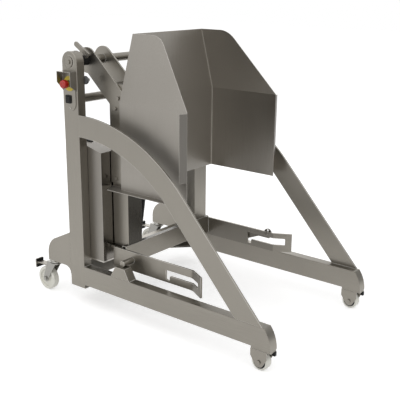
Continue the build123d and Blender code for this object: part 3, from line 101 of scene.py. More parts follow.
# Limits that the modelling works to
MERGE_CAD = 0.02 * MM
MERGE_MADE = 0.01 * MM
FLAT_WITHIN = math.radians(0.4)
SHARP_FROM = math.radians(40.0)
SAME_WAY = 0.95
STEEP = 0.5

# Ripples of a weld bead: step and height as shares of the bead's width and half width, and their lean
WELD_STEP = 0.45
RIPPLE_SHARE = 0.62
RIPPLE_LEAN = math.radians(24)

# Stretch of the grain for each way of brushing
BRUSHED = {"x": (0.03, 1.0, 1.0), "y": (1.0, 0.03, 1.0), "z": (1.0, 1.0, 0.03), "even": (1.0, 1.0, 1.0)}

# Tones of the brushed lines and of the washed patches, as shares of the steel's colour
DARK_LINE = 0.93
LIGHT_LINE = 1.06
PATCH_TONE = 0.97

# Lamps: name, place, width and height in metres, and the setting that holds the power
LAMPS = (
    ("top_lamp", Vector((-1.2, -0.6, 4.2)), 4.0, 4.0, "top_power"),
    ("back_lamp", Vector((3.4, 2.9, 1.9)), 3.2, 2.4, "back_power"),
)
LAMP_AIM = Vector((0, -0.3, 0.7))

# Painted dark reflections: grey cards that glow and that only the steel's gloss sees; the head card and the
# low card stand inside the frame and paint its shade
# Cards: name, setting that holds the tone, place and size in metres, and turn in degrees,
# where 0 faces the front and 90 the right
CARDS = (
    ("front_card", "card_tone", (2.05, -1.75, 0.40), (4.6, 1.2, 1.0), 230),
    ("head_card", "card_tone", (-0.383, 0.0, 1.08), (0.10, 0.36, 1.0), 90),
    ("low_card", "low_tone", (0.0, -0.20, 0.07), (0.74, 0.14, 1.0), 180),
)
CARD_CLOUDS = (0.9, 1.1)
FLOOR_SIZE = 40.0
FILM_WIDTH = 36.0
FAR_CLIP = 100.0


class DumperFinishes(bpy.types.PropertyGroup):
    """Colours and gloss of the dumper's materials."""

    satin: FloatVectorProperty(
        name="Satin steel", description="Blasted and brushed tube and plate", subtype="COLOR",
        default=(0.280, 0.262, 0.230), min=0.0, max=1.0,
    )
    sheet: FloatVectorProperty(
        name="Sheet steel", description="Rolled sheet of the hood and the power box", subtype="COLOR",
        default=(0.340, 0.320, 0.290), min=0.0, max=1.0,
    )
    bright: FloatVectorProperty(
        name="Bright steel", description="Turned and ground fasteners, axles and rod", subtype="COLOR",
        default=(0.46, 0.45, 0.42), min=0.0, max=1.0,
    )
    # The edge colour is lighter than the plates: rubbed wear and a painted highlight along the eased edges
    edge: FloatVectorProperty(
        name="Rubbed edge and painted highlight", description="Cut edges of the plates, polished by handling", subtype="COLOR",
        default=(0.56, 0.54, 0.50), min=0.0, max=1.0,
    )
    black: FloatVectorProperty(
        name="Black plastic", description="Collars, switch and bumpers", subtype="COLOR",
        default=(0.008, 0.008, 0.008), min=0.0, max=1.0,
    )
    red: FloatVectorProperty(
        name="Red plastic", description="Emergency-stop head", subtype="COLOR",
        default=(0.44, 0.020, 0.014), min=0.0, max=1.0,
    )
    yellow: FloatVectorProperty(
        name="Yellow plastic", description="Emergency-stop base", subtype="COLOR",
        default=(0.64, 0.50, 0.04), min=0.0, max=1.0,
    )
    cream: FloatVectorProperty(
        name="Cream nylon", description="Castor wheels", subtype="COLOR",
        default=(0.56, 0.54, 0.46), min=0.0, max=1.0,
    )
    rubber: FloatVectorProperty(
        name="Grey rubber", description="Rubber pads and seals", subtype="COLOR",
        default=(0.07, 0.07, 0.068), min=0.0, max=1.0,
    )
    paint: FloatVectorProperty(
        name="Motor paint", description="Painted pump motor and tank", subtype="COLOR",
        default=(0.06, 0.10, 0.17), min=0.0, max=1.0,
    )
    satin_roughness: FloatProperty(
        name="Satin roughness", description="Roughness of the blasted steel", subtype="FACTOR",
        default=0.34, min=0.0, max=1.0,
    )
    sheet_roughness: FloatProperty(
        name="Sheet roughness", description="Roughness of the rolled sheet", subtype="FACTOR",
        default=0.36, min=0.0, max=1.0,
    )


class DumperSizes(bpy.types.PropertyGroup):
    """Sizes of the details that are added to the construction."""

    eased_edge: FloatProperty(
        name="Eased edge", description="Width of the broken edge on cut plate", unit="LENGTH",
        default=1.3 * MM, min=0.0, precision=5,
    )
    sheet_edge: FloatProperty(
        name="Sheet edge", description="Width of the broken edge on thin sheet", unit="LENGTH",
        default=0.5 * MM, min=0.0, precision=5,
    )
    weld_width: FloatProperty(
        name="Weld width", description="Width of a fillet weld", unit="LENGTH",
        default=5.0 * MM, min=0.0, precision=5,
    )
    turning_steps: IntProperty(
        name="Turning steps", description="Sides of a turned piece",
        default=40, min=12, max=128,
    )


class DumperStudio(bpy.types.PropertyGroup):
    """Camera, floor and lamps."""

    camera_place: FloatVectorProperty(
        name="Camera place", description="Where the camera stands", subtype="TRANSLATION", unit="LENGTH",
        default=(-2.8270, -2.6809, 1.6145), precision=4,
    )
    camera_heading: FloatProperty(
        name="Camera heading", description="Turn of the view to the right from straight at the front",
        subtype="ANGLE", default=math.radians(51.733),
    )
    camera_dip: FloatProperty(
        name="Camera dip", description="How far the view looks down", subtype="ANGLE",
        default=math.radians(16.661),
    )
    camera_roll: FloatProperty(
        name="Camera roll", description="Turn of the picture", subtype="ANGLE",
        default=math.radians(0.5174),
    )
    camera_lens: FloatProperty(
        name="Camera lens", description="Focal length in millimetres", unit="CAMERA",
        default=66.92, min=1.0,
    )
    floor_colour: FloatVectorProperty(
        name="Floor", description="Plain pale floor", subtype="COLOR",
        default=(0.80, 0.80, 0.80), min=0.0, max=1.0,
    )
    floor_glow: FloatProperty(
        name="Floor glow", description="Lifts the floor to the backdrop's white",
        default=0.46, min=0.0, max=1.0,
    )
    fill_level: FloatProperty(
        name="Fill level", description="Even light from all around",
        default=0.75, min=0.0, max=2.0,
    )
    top_power: FloatProperty(
        name="Top lamp", description="Soft lamp overhead", unit="POWER",
        default=45.0, min=0.0,
    )
    back_power: FloatProperty(
        name="Back lamp", description="Soft lamp behind on the right", unit="POWER",
        default=26.0, min=0.0,
    )
    # Tone of the painted dark reflections on the steel
    card_tone: FloatProperty(
        name="Card tone", description="Grey of the cards that the steel mirrors", subtype="FACTOR",
        default=0.42, min=0.0, max=1.0,
    )
    # Tone of the painted shade that the low card gives the rear cross member
    low_tone: FloatProperty(
        name="Low tone", description="Dark of the low card that the rear cross member mirrors",
        subtype="FACTOR", default=0.07, min=0.0, max=1.0,
    )


def finishes():
    """Colours and gloss as set in the scene."""
    return bpy.context.scene.dumper_finishes


def sizes():
    """Sizes of details as set in the scene."""
    return bpy.context.scene.dumper_sizes


def studio():
    """Camera, floor and lamps as set in the scene."""
    return bpy.context.scene.dumper_studio


# Shader nodes and the groups that several materials share


def new_group(name, inputs, outputs):
    """Empty shader node group with its named sockets, and its input and output nodes."""
    tree = bpy.data.node_groups.new(name, "ShaderNodeTree")
    for socket, kind in inputs:
        tree.interface.new_socket(name=socket, in_out="INPUT", socket_type=kind)
    for socket, kind in outputs:
        tree.interface.new_socket(name=socket, in_out="OUTPUT", socket_type=kind)
    return tree, tree.nodes.new("NodeGroupInput"), tree.nodes.new("NodeGroupOutput")


def noise_node(tree, vector, scale, detail, roughness):
    """Noise that reads a vector; scale may be a number or a socket."""
    node = tree.nodes.new("ShaderNodeTexNoise")
    node.inputs["Detail"].default_value = detail
    node.inputs["Roughness"].default_value = roughness
    tree.links.new(vector, node.inputs["Vector"])
    if isinstance(scale, bpy.types.NodeSocket):
        tree.links.new(scale, node.inputs["Scale"])
    else:
        node.inputs["Scale"].default_value = scale
    return node.outputs["Fac"]


def range_node(tree, value, low, high, new_low=0.0, new_high=1.0):
    """Map range, clamped."""
    node = tree.nodes.new("ShaderNodeMapRange")
    node.clamp = True
    tree.links.new(value, node.inputs["Value"])
    for socket, limit in (("From Min", low), ("From Max", high), ("To Min", new_low), ("To Max", new_high)):
        node.inputs[socket].default_value = limit
    return node.outputs["Result"]


def vary(tree, mask, middle, below, above):
    """Value that goes with a mask from a little below its middle to a little above."""
    return range_node(tree, mask, 0.0, 1.0, middle - below, middle + above)


def stretch_node(tree, vector):
    """Vector times another, which is still to be set."""
    node = tree.nodes.new("ShaderNodeVectorMath")
    node.operation = "MULTIPLY"
    tree.links.new(vector, node.inputs[0])
    return node


def brushed_grain():
    """Fine lines along the way that the steel was brushed."""
    name = "brushed_grain"
    if name in bpy.data.node_groups:
        return bpy.data.node_groups[name]
    tree, source, sink = new_group(
        name,
        (("Vector", "NodeSocketVector"), ("Stretch", "NodeSocketVector"), ("Fineness", "NodeSocketFloat")),
        (("Tone", "NodeSocketFloat"), ("Height", "NodeSocketFloat")),
    )
    stretch = stretch_node(tree, source.outputs["Vector"])
    tree.links.new(source.outputs["Stretch"], stretch.inputs[1])
    lines = noise_node(
        tree, stretch.outputs["Vector"], source.outputs["Fineness"], detail=3.0, roughness=0.6)
    tree.links.new(range_node(tree, lines, low=0.3, high=0.7), sink.inputs["Tone"])
    tree.links.new(lines, sink.inputs["Height"])
    return tree


def handling_marks():
    """Broad cloudy patches with wiped streaks, as on steel that is washed down."""
    name = "handling_marks"
    if name in bpy.data.node_groups:
        return bpy.data.node_groups[name]
    tree, source, sink = new_group(
        name,
        (("Vector", "NodeSocketVector"), ("Size", "NodeSocketFloat")),
        (("Mask", "NodeSocketFloat"), ("Streaks", "NodeSocketFloat")),
    )
    clouds = noise_node(tree, source.outputs["Vector"], source.outputs["Size"], detail=4.0, roughness=0.55)
    tree.links.new(range_node(tree, clouds, low=0.38, high=0.66), sink.inputs["Mask"])
    run = stretch_node(tree, source.outputs["Vector"])
    run.inputs[1].default_value = (9.0, 9.0, 0.9)
    streaks = noise_node(tree, run.outputs["Vector"], source.outputs["Size"], detail=2.0, roughness=0.5)
    tree.links.new(range_node(tree, streaks, low=0.42, high=0.72), sink.inputs["Streaks"])
    return tree


def moulded_skin():
    """Fine spark texture of moulded plastic, with a little dust in its hollows."""
    name = "moulded_skin"
    if name in bpy.data.node_groups:
        return bpy.data.node_groups[name]
    tree, source, sink = new_group(
        name,
        (("Vector", "NodeSocketVector"), ("Pitch", "NodeSocketFloat")),
        (("Tone", "NodeSocketFloat"), ("Height", "NodeSocketFloat")),
    )
    fine = noise_node(tree, source.outputs["Vector"], source.outputs["Pitch"], detail=2.0, roughness=0.5)
    broad = noise_node(tree, source.outputs["Vector"], scale=14.0, detail=3.0, roughness=0.6)
    tree.links.new(range_node(tree, broad, low=0.35, high=0.7), sink.inputs["Tone"])
    tree.links.new(fine, sink.inputs["Height"])
    return tree


def place_group(tree, group, coordinate, **values):
    """Puts a shared group in a material, with its own values."""
    node = tree.nodes.new("ShaderNodeGroup")
    node.node_tree = group
    tree.links.new(coordinate, node.inputs["Vector"])
    for socket, value in values.items():
        node.inputs[socket].default_value = value
    return node


def mix_colours(tree, factor, first, second):
    """Colour mix; first and second may be colours or sockets."""
    node = tree.nodes.new("ShaderNodeMix")
    node.data_type = "RGBA"
    tree.links.new(factor, node.inputs["Factor"])
    for socket, colour in (("A", first), ("B", second)):
        target = next(s for s in node.inputs if s.name == socket and s.type == "RGBA")
        if isinstance(colour, bpy.types.NodeSocket):
            tree.links.new(colour, target)
        else:
            target.default_value = (*colour, 1.0)
    return next(s for s in node.outputs if s.type == "RGBA")


def bump_node(tree, height, strength, distance):
    """Normal of a surface with a little relief."""
    node = tree.nodes.new("ShaderNodeBump")
    node.inputs["Strength"].default_value = strength
    node.inputs["Distance"].default_value = distance
    tree.links.new(height, node.inputs["Height"])
    return node.outputs["Normal"]


def rays_that_show(tree):
    """One for what the camera sees, straight, mirrored or through glass, and none for other light."""
    path = tree.nodes.new("ShaderNodeLightPath")
    seen = path.outputs["Is Camera Ray"]
    for ray in ("Is Glossy Ray", "Is Transmission Ray"):
        either = tree.nodes.new("ShaderNodeMath")
        either.operation = "MAXIMUM"
        tree.links.new(seen, either.inputs[0])
        tree.links.new(path.outputs[ray], either.inputs[1])
        seen = either.outputs[0]
    return seen


# Materials


def shade(colour, factor):
    """Colour made darker or lighter."""
    return tuple(min(1.0, channel * factor) for channel in colour)


def blank_material(name):
    """New material with only its shader, its output and the piece's own coordinates."""
    material = bpy.data.materials.new(name)
    material.use_nodes = True
    tree = material.node_tree
    tree.nodes.clear()
    shader = tree.nodes.new("ShaderNodeBsdfPrincipled")
    output = tree.nodes.new("ShaderNodeOutputMaterial")
    tree.links.new(shader.outputs["BSDF"], output.inputs["Surface"])
    coordinate = tree.nodes.new("ShaderNodeTexCoord").outputs["Object"]
    return material, tree, shader, coordinate


def steel_material(name, colour, roughness, stretch, fineness, depth, patches):
    """Steel with brushed lines, cloudy handling marks and wiped streaks."""
    material, tree, shader, coordinate = blank_material(name)
    shader.inputs["Metallic"].default_value = 1.0
    grain = place_group(tree, brushed_grain(), coordinate, Stretch=stretch, Fineness=fineness)
    marks = place_group(tree, handling_marks(), coordinate, Size=patches)
    lined = mix_colours(tree, grain.outputs["Tone"], shade(colour, DARK_LINE), shade(colour, LIGHT_LINE))
    patched = mix_colours(tree, marks.outputs["Mask"], lined, shade(colour, PATCH_TONE))
    streaked = tree.nodes.new("ShaderNodeMix")
    streaked.data_type = "FLOAT"
    tree.links.new(marks.outputs["Streaks"], streaked.inputs[0])
    tree.links.new(vary(tree, marks.outputs["Mask"], roughness, below=0.03, above=0.05), streaked.inputs[2])
    tree.links.new(vary(tree, grain.outputs["Tone"], roughness, below=0.05, above=0.03), streaked.inputs[3])
    tree.links.new(patched, shader.inputs["Base Color"])
    tree.links.new(streaked.outputs[0], shader.inputs["Roughness"])
    relief = bump_node(tree, grain.outputs["Height"], strength=0.12, distance=depth)
    tree.links.new(relief, shader.inputs["Normal"])
    return material


def plastic_material(name, colour, roughness, pitch, depth, spread, gloss):
    """Moulded plastic, rubber or paint."""
    material, tree, shader, coordinate = blank_material(name)
    shader.inputs["Specular IOR Level"].default_value = gloss
    skin = place_group(tree, moulded_skin(), coordinate, Pitch=pitch)
    tinted = mix_colours(tree, skin.outputs["Tone"], shade(colour, spread), shade(colour, 2.0 - spread))
    tree.links.new(tinted, shader.inputs["Base Color"])
    uneven = vary(tree, skin.outputs["Tone"], roughness, below=0.05, above=0.06)
    tree.links.new(uneven, shader.inputs["Roughness"])
    relief = bump_node(tree, skin.outputs["Height"], strength=0.2, distance=depth)
    tree.links.new(relief, shader.inputs["Normal"])
    return material


def steel(base, way, lines, depth, tone=1.0, roughness=None, rougher=0.0, patches=3.2):
    """Maker of a steel finish from a set colour, with lines and patches to the metre and a depth in mm."""
    def make(name, given):
        rough = getattr(given, f"{base}_roughness") if roughness is None else roughness
        colour = shade(getattr(given, base), tone)
        return steel_material(name, colour, rough + rougher, BRUSHED[way], lines, depth * MM, patches)
    return make


def satin(way, **changes):
    """Maker of blasted or brushed tube and plate."""
    return steel("satin", way, lines=900.0 if way == "even" else 420.0, depth=0.03, **changes)


def sheet(way, **changes):
    """Maker of rolled sheet."""
    return steel("sheet", way, lines=360.0, depth=0.03, patches=2.2, **changes)


def moulding(base, roughness, pitch, depth, spread=0.85, gloss=0.5):
    """Maker of a plastic, rubber or paint from a set colour; depth of its skin in mm."""
    def make(name, given):
        return plastic_material(name, getattr(given, base), roughness, pitch, depth * MM, spread, gloss)
    return make


FINISHES = {
    "satin_upright": satin("z"),
    "satin_lengthways": satin("y"),
    "satin_across": satin("x"),
    "satin_blasted": satin("even"),
    # Darker copy of the satin steel for the right fork arm's inner face: painted shade
    "satin_shaded": satin("even", tone=0.74),
    # Much darker copy of the satin steel for single faces: painted shade on the left upright's front and
    # painted dark reflection on the cross-beam's top
    "satin_dark": satin("z", tone=0.24, roughness=0.28),
    "sheet_upright": sheet("z"),
    "sheet_blasted": sheet("even"),
    "sheet_scoured": sheet("z", rougher=0.14),
    "sheet_folded": sheet("z", tone=0.80, roughness=0.36),
    # Darker, glossier copy of the sheet for the power box's front face: the lower roughness is polish, the
    # darker tone is painted shade
    "sheet_polished": sheet("z", tone=0.65, roughness=0.21),
    # Darker copy of the scoured sheet for the hood's front flange: painted shade
    "sheet_dark": sheet("z", tone=0.52, rougher=0.14),
    "dark_steel": steel("satin", "even", lines=700.0, depth=0.05, tone=0.55, roughness=0.30),
    "bright_turned": steel("bright", "x", lines=600.0, depth=0.1, roughness=0.22),
    "castor_zinc": steel("bright", "even", lines=600.0, depth=0.1, tone=0.70, roughness=0.30),
    "ground_rod": steel("bright", "even", lines=500.0, depth=0.05, tone=1.2, roughness=0.10),
    # Lighter steel on eased edges: rubbed wear and painted highlight
    "rubbed_edge": steel("edge", "even", lines=500.0, depth=0.1, roughness=0.30),
    # Ground seam, lighter than the edge steel: a painted highlight along the hood's corners
    "ground_seam": steel("edge", "z", lines=420.0, depth=0.05, tone=1.1, roughness=0.34),
    "weld_bead": steel("bright", "even", lines=240.0, depth=0.3, tone=0.8, roughness=0.34, patches=30.0),
    # Black plastic, also used as painted shade in the louvres' openings, on the front bumpers and in the
    # front wheels' hollows
    "black_moulding": moulding("black", roughness=0.42, pitch=900.0, depth=0.15, gloss=0.22),
    "red_moulding": moulding("red", roughness=0.28, pitch=700.0, depth=0.05, spread=0.94),
    "yellow_moulding": moulding("yellow", roughness=0.34, pitch=700.0, depth=0.05, spread=0.94),
    "cream_nylon": moulding("cream", roughness=0.45, pitch=500.0, depth=0.10, spread=0.93),
    "grey_rubber": moulding("rubber", roughness=0.62, pitch=420.0, depth=0.30, gloss=0.3),
    "motor_paint": moulding("paint", roughness=0.36, pitch=260.0, depth=0.20, spread=0.9),
}


def finish(name):
    """Material by its name, made the first time that it is asked for."""
    if name in bpy.data.materials:
        return bpy.data.materials[name]
    return FINISHES[name](name, finishes())


# Making and finishing pieces


def deselect():
    """Leaves no object selected."""
    bpy.ops.object.select_all(action="DESELECT")


def only(obj):
    """Leaves one object selected and active."""
    deselect()
    obj.select_set(True)
    bpy.context.view_layer.objects.active = obj


def apply(obj, modifier):
    """Puts a modifier's work into the mesh."""
    only(obj)
    bpy.ops.object.modifier_apply(modifier=modifier.name)


def smooth(obj, angle):
    """Smooth shading up to an angle in degrees, with flat faces kept flat beside their rounds."""
    only(obj)
    bpy.ops.object.shade_smooth_by_angle(angle=math.radians(angle))
    modifier = obj.modifiers.new("even_shading", "WEIGHTED_NORMAL")
    modifier.mode = "FACE_AREA"
    modifier.weight = 100
    modifier.keep_sharp = True
    apply(obj, modifier)


def hand_over(obj, body, slot, *nodes, fold=30.0):
    """Shades a finished piece and says what it moves with and stands for; its slot is not used."""
    smooth(obj, fold)
    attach(obj, body)
    if nodes:
        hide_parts(*nodes)


def body_of(node):
    """Body that a CAD node moves with."""
    for body, nodes in frame["record"]["behaviour"]["bodies"].items():
        if node in nodes:
            return body
    raise RuntimeError(f"No body holds {node}")


def slot_of(node):
    """Material slot of a CAD node."""
    for part in frame["record"]["subparts"]:
        if part["node"] == node:
            return part["material_slot"]
    raise RuntimeError(f"No slot is given for {node}")


def refinish(node, name):
    """Gives a CAD node that keeps its own shape a full material."""
    obj = frame["nodes"][node]
    for slot in obj.material_slots:
        slot.material = finish(name)


def ease_edges(obj, width):
    """Breaks the sharp edges of an object with a small round that takes its second finish."""
    modifier = obj.modifiers.new("eased", "BEVEL")
    modifier.width = width
    modifier.segments = 2
    modifier.limit_method = "ANGLE"
    modifier.angle_limit = SHARP_FROM
    modifier.use_clamp_overlap = True
    modifier.material = 1
    apply(obj, modifier)


def copy_of(obj, name, matrix=None):
    """Copy of an object with its own mesh, moved by a matrix."""
    mesh = obj.data.copy()
    mesh.name = name
    if matrix is not None:
        mesh.transform(matrix)
    copy = bpy.data.objects.new(name, mesh)
    bpy.context.scene.collection.objects.link(copy)
    return copy


def coat(obj, *names):
    """Gives an object its finishes."""
    obj.data.materials.clear()
    for name in names:
        obj.data.materials.append(finish(name))
    return obj


def dress(node, name, width=None, edge="rubbed_edge", fold=30.0):
    """Stands a copy of a CAD node in its place, with eased edges, and rounds up to fold degrees smooth."""
    obj = copy_of(frame["nodes"][node], f"{node}_skin")
    only(obj)
    bpy.ops.mesh.customdata_custom_splitnormals_clear()
    bpy.ops.object.mode_set(mode="EDIT")
    bpy.ops.mesh.select_all(action="SELECT")
    bpy.ops.mesh.remove_doubles(threshold=MERGE_CAD)
    bpy.ops.mesh.dissolve_limited(angle_limit=FLAT_WITHIN)
    bpy.ops.object.mode_set(mode="OBJECT")
    coat(obj, name, edge)
    ease_edges(obj, sizes().eased_edge if width is None else width)
    hand_over(obj, body_of(node), slot_of(node), node, fold=fold)
    return obj


# Modelling by hand


def put_away(*objects):
    """Deletes helper objects with their meshes."""
    for obj in objects:
        mesh = obj.data
        bpy.data.objects.remove(obj)
        bpy.data.meshes.remove(mesh)


def settle():
    """Puts the place, turn and size of what was just added into its mesh."""
    bpy.ops.object.transform_apply(location=True, rotation=True, scale=True)
    return bpy.context.object


def edit(obj):
    """Edit mode on one object, with nothing selected in it."""
    only(obj)
    bpy.ops.object.mode_set(mode="EDIT")
    bpy.ops.mesh.select_mode(type="FACE")
    bpy.ops.mesh.select_all(action="DESELECT")


def pick_faces(obj, wanted):
    """Selects the faces whose middle and normal are wanted."""
    bpy.ops.mesh.select_all(action="DESELECT")
    mesh = bmesh.from_edit_mesh(obj.data)
    chosen = [face for face in mesh.faces if wanted(face.calc_center_median(), face.normal)]
    if not chosen:
        raise RuntimeError(f"{obj.name} has no such face")
    for face in chosen:
        face.select_set(True)
    bmesh.update_edit_mesh(obj.data)


def paint_faces(obj, index, wanted):
    """Gives one of an object's finishes to the faces that are wanted."""
    pick_faces(obj, wanted)
    obj.active_material_index = index
    bpy.ops.object.material_slot_assign()


def reface(obj, name, out):
    """Another finish on the faces of a piece that look one way; here always a darker copy of the steel, as
    painted shade.
    """
    obj.data.materials.append(finish(name))
    edit(obj)
    paint_faces(obj, len(obj.data.materials) - 1, lambda middle, normal: normal.dot(out) > SAME_WAY)
    bpy.ops.object.mode_set(mode="OBJECT")


def pick_edges(obj, wanted):
    """Selects the edges whose way is wanted."""
    bpy.ops.mesh.select_mode(type="EDGE")
    bpy.ops.mesh.select_all(action="DESELECT")
    mesh = bmesh.from_edit_mesh(obj.data)
    chosen = [edge for edge in mesh.edges if wanted((edge.verts[1].co - edge.verts[0].co).normalized())]
    if not chosen:
        raise RuntimeError(f"{obj.name} has no such edge")
    for edge in chosen:
        edge.select_set(True)
    bmesh.update_edit_mesh(obj.data)


def pull(x, y, z):
    """Extrudes what is selected, by a way in mm."""
    bpy.ops.mesh.extrude_region_move(TRANSFORM_OT_translate={"value": (x * MM, y * MM, z * MM)})


def outwards():
    """Merges what meets and turns all faces outwards, then leaves edit mode."""
    bpy.ops.mesh.select_all(action="SELECT")
    bpy.ops.mesh.remove_doubles(threshold=MERGE_MADE)
    bpy.ops.mesh.normals_make_consistent(inside=False)
    bpy.ops.object.mode_set(mode="OBJECT")


def turned(name, stations, ring=False):
    """Piece turned about Z: a circle pulled and scaled to each station, a radius and a height in mm."""
    deselect()
    radius, height = stations[0]
    bpy.ops.mesh.primitive_circle_add(
        vertices=sizes().turning_steps, radius=radius * MM, fill_type="NOTHING" if ring else "NGON",
        location=(0, 0, height * MM),
    )
    obj = settle()
    obj.name = name
    bpy.ops.object.mode_set(mode="EDIT")
    bpy.ops.mesh.select_all(action="SELECT")
    for next_radius, next_height in stations[1:]:
        pull(0, 0, next_height - height)
        grow = next_radius / radius
        bpy.ops.transform.resize(value=(grow, grow, 1.0), center_override=(0, 0, next_height * MM))
        radius = next_radius
        height = next_height
    outwards()
    return obj


def block(name, low, high):
    """Rectangular block between two corners, in mm."""
    low = Vector(low)
    high = Vector(high)
    deselect()
    bpy.ops.mesh.primitive_cube_add(size=MM, location=(low + high) * (MM / 2))
    obj = bpy.context.object
    obj.scale = high - low
    obj.name = name
    return settle()


def cut(obj, tool, operation):
    """Boolean of an object with a tool that is then put away."""
    modifier = obj.modifiers.new("cut", "BOOLEAN")
    modifier.operation = operation
    modifier.object = tool
    modifier.solver = "EXACT"
    apply(obj, modifier)
    put_away(tool)
    return obj


def hexagon_head(name, flats, height, foot):
    """Hexagon head that stands on the height foot, its rim turned to a chamfer; sizes in mm."""
    corner = flats / math.sqrt(3)
    top = foot + height
    deselect()
    bpy.ops.mesh.primitive_cylinder_add(
        vertices=6, radius=corner * MM, depth=height * MM, location=(0, 0, (foot + height / 2) * MM)
    )
    head = settle()
    head.name = name
    rim = 0.475 * flats
    slope = math.tan(math.radians(30))
    spare = 1.0
    outer = corner + spare
    cone = turned("chamfer_tool", (
        (outer, foot - spare), (outer, top - (outer - rim) * slope), (rim - spare / slope, top + spare),
    ))
    return cut(head, cone, "INTERSECT")


def join(name, *objects):
    """Joins objects to one with all their finishes."""
    deselect()
    for obj in objects:
        obj.select_set(True)
    bpy.context.view_layer.objects.active = objects[0]
    if len(objects) > 1:
        bpy.ops.object.join()
    objects[0].name = name
    objects[0].data.name = name
    return objects[0]


def at(x, y, z):
    """Matrix that moves a piece to a place in mm."""
    return Matrix.Translation((x * MM, y * MM, z * MM))


def along(way, place, roll=0.0):
    """Matrix that lays a piece made along Z along another way, with its foot at a place in mm."""
    turn = UP.rotation_difference(Vector(way)).to_matrix().to_4x4()
    return Matrix.Translation(Vector(place) * MM) @ turn @ Matrix.Rotation(math.radians(roll), 4, "Z")


def set_out(model, name, matrices):
    """Copies of a modelled piece at their places, joined to one object; the model is put away."""
    copies = [copy_of(model, name, matrix) for matrix in matrices]
    put_away(model)
    return join(name, *copies)


def ripple():
    """One ripple of a weld bead, leaning on the next one along X."""
    deselect()
    bpy.ops.mesh.primitive_uv_sphere_add(segments=8, ring_count=4, radius=1.0)
    obj = bpy.context.object
    half = sizes().weld_width / 2
    obj.scale = (RIPPLE_SHARE * half, half, RIPPLE_SHARE * half)
    obj = settle()
    obj.name = "weld_ripple"
    edit(obj)
    bpy.ops.mesh.select_all(action="SELECT")
    bpy.ops.transform.rotate(value=RIPPLE_LEAN, orient_axis="Y", center_override=(0, 0, 0))
    outwards()
    return coat(obj, "weld_bead")


def straight_weld(name, start, end, out):
    """Bead of ripples from one point to another in mm, in a corner that opens along out."""
    start = Vector(start) * MM
    end = Vector(end) * MM
    pitch = WELD_STEP * sizes().weld_width
    bead = ripple()
    bead.name = name
    modifier = bead.modifiers.new("run", "ARRAY")
    modifier.use_relative_offset = False
    modifier.use_constant_offset = True
    modifier.constant_offset_displace = (pitch, 0, 0)
    modifier.count = max(2, round((end - start).length / pitch) + 1)
    apply(bead, modifier)
    ahead = (end - start).normalized()
    up = Vector(out).normalized()
    turn = Matrix((ahead, up.cross(ahead), up)).transposed().to_4x4()
    bead.data.transform(Matrix.Translation(start) @ turn)
    return bead


def ring_weld(name, place, radius, way):
    """Bead of ripples round a bar that stands out of a face along an axis; sizes in mm."""
    count = max(8, round(2 * math.pi * radius * MM / (WELD_STEP * sizes().weld_width)))
    base = along(way, place)
    lean = Matrix.Translation((radius * MM, 0, 0)) @ Matrix.Rotation(math.radians(90), 4, "Z")
    places = [base @ Matrix.Rotation(2 * math.pi * step / count, 4, "Z") @ lean for step in range(count)]
    return set_out(ripple(), name, places)


# Operators


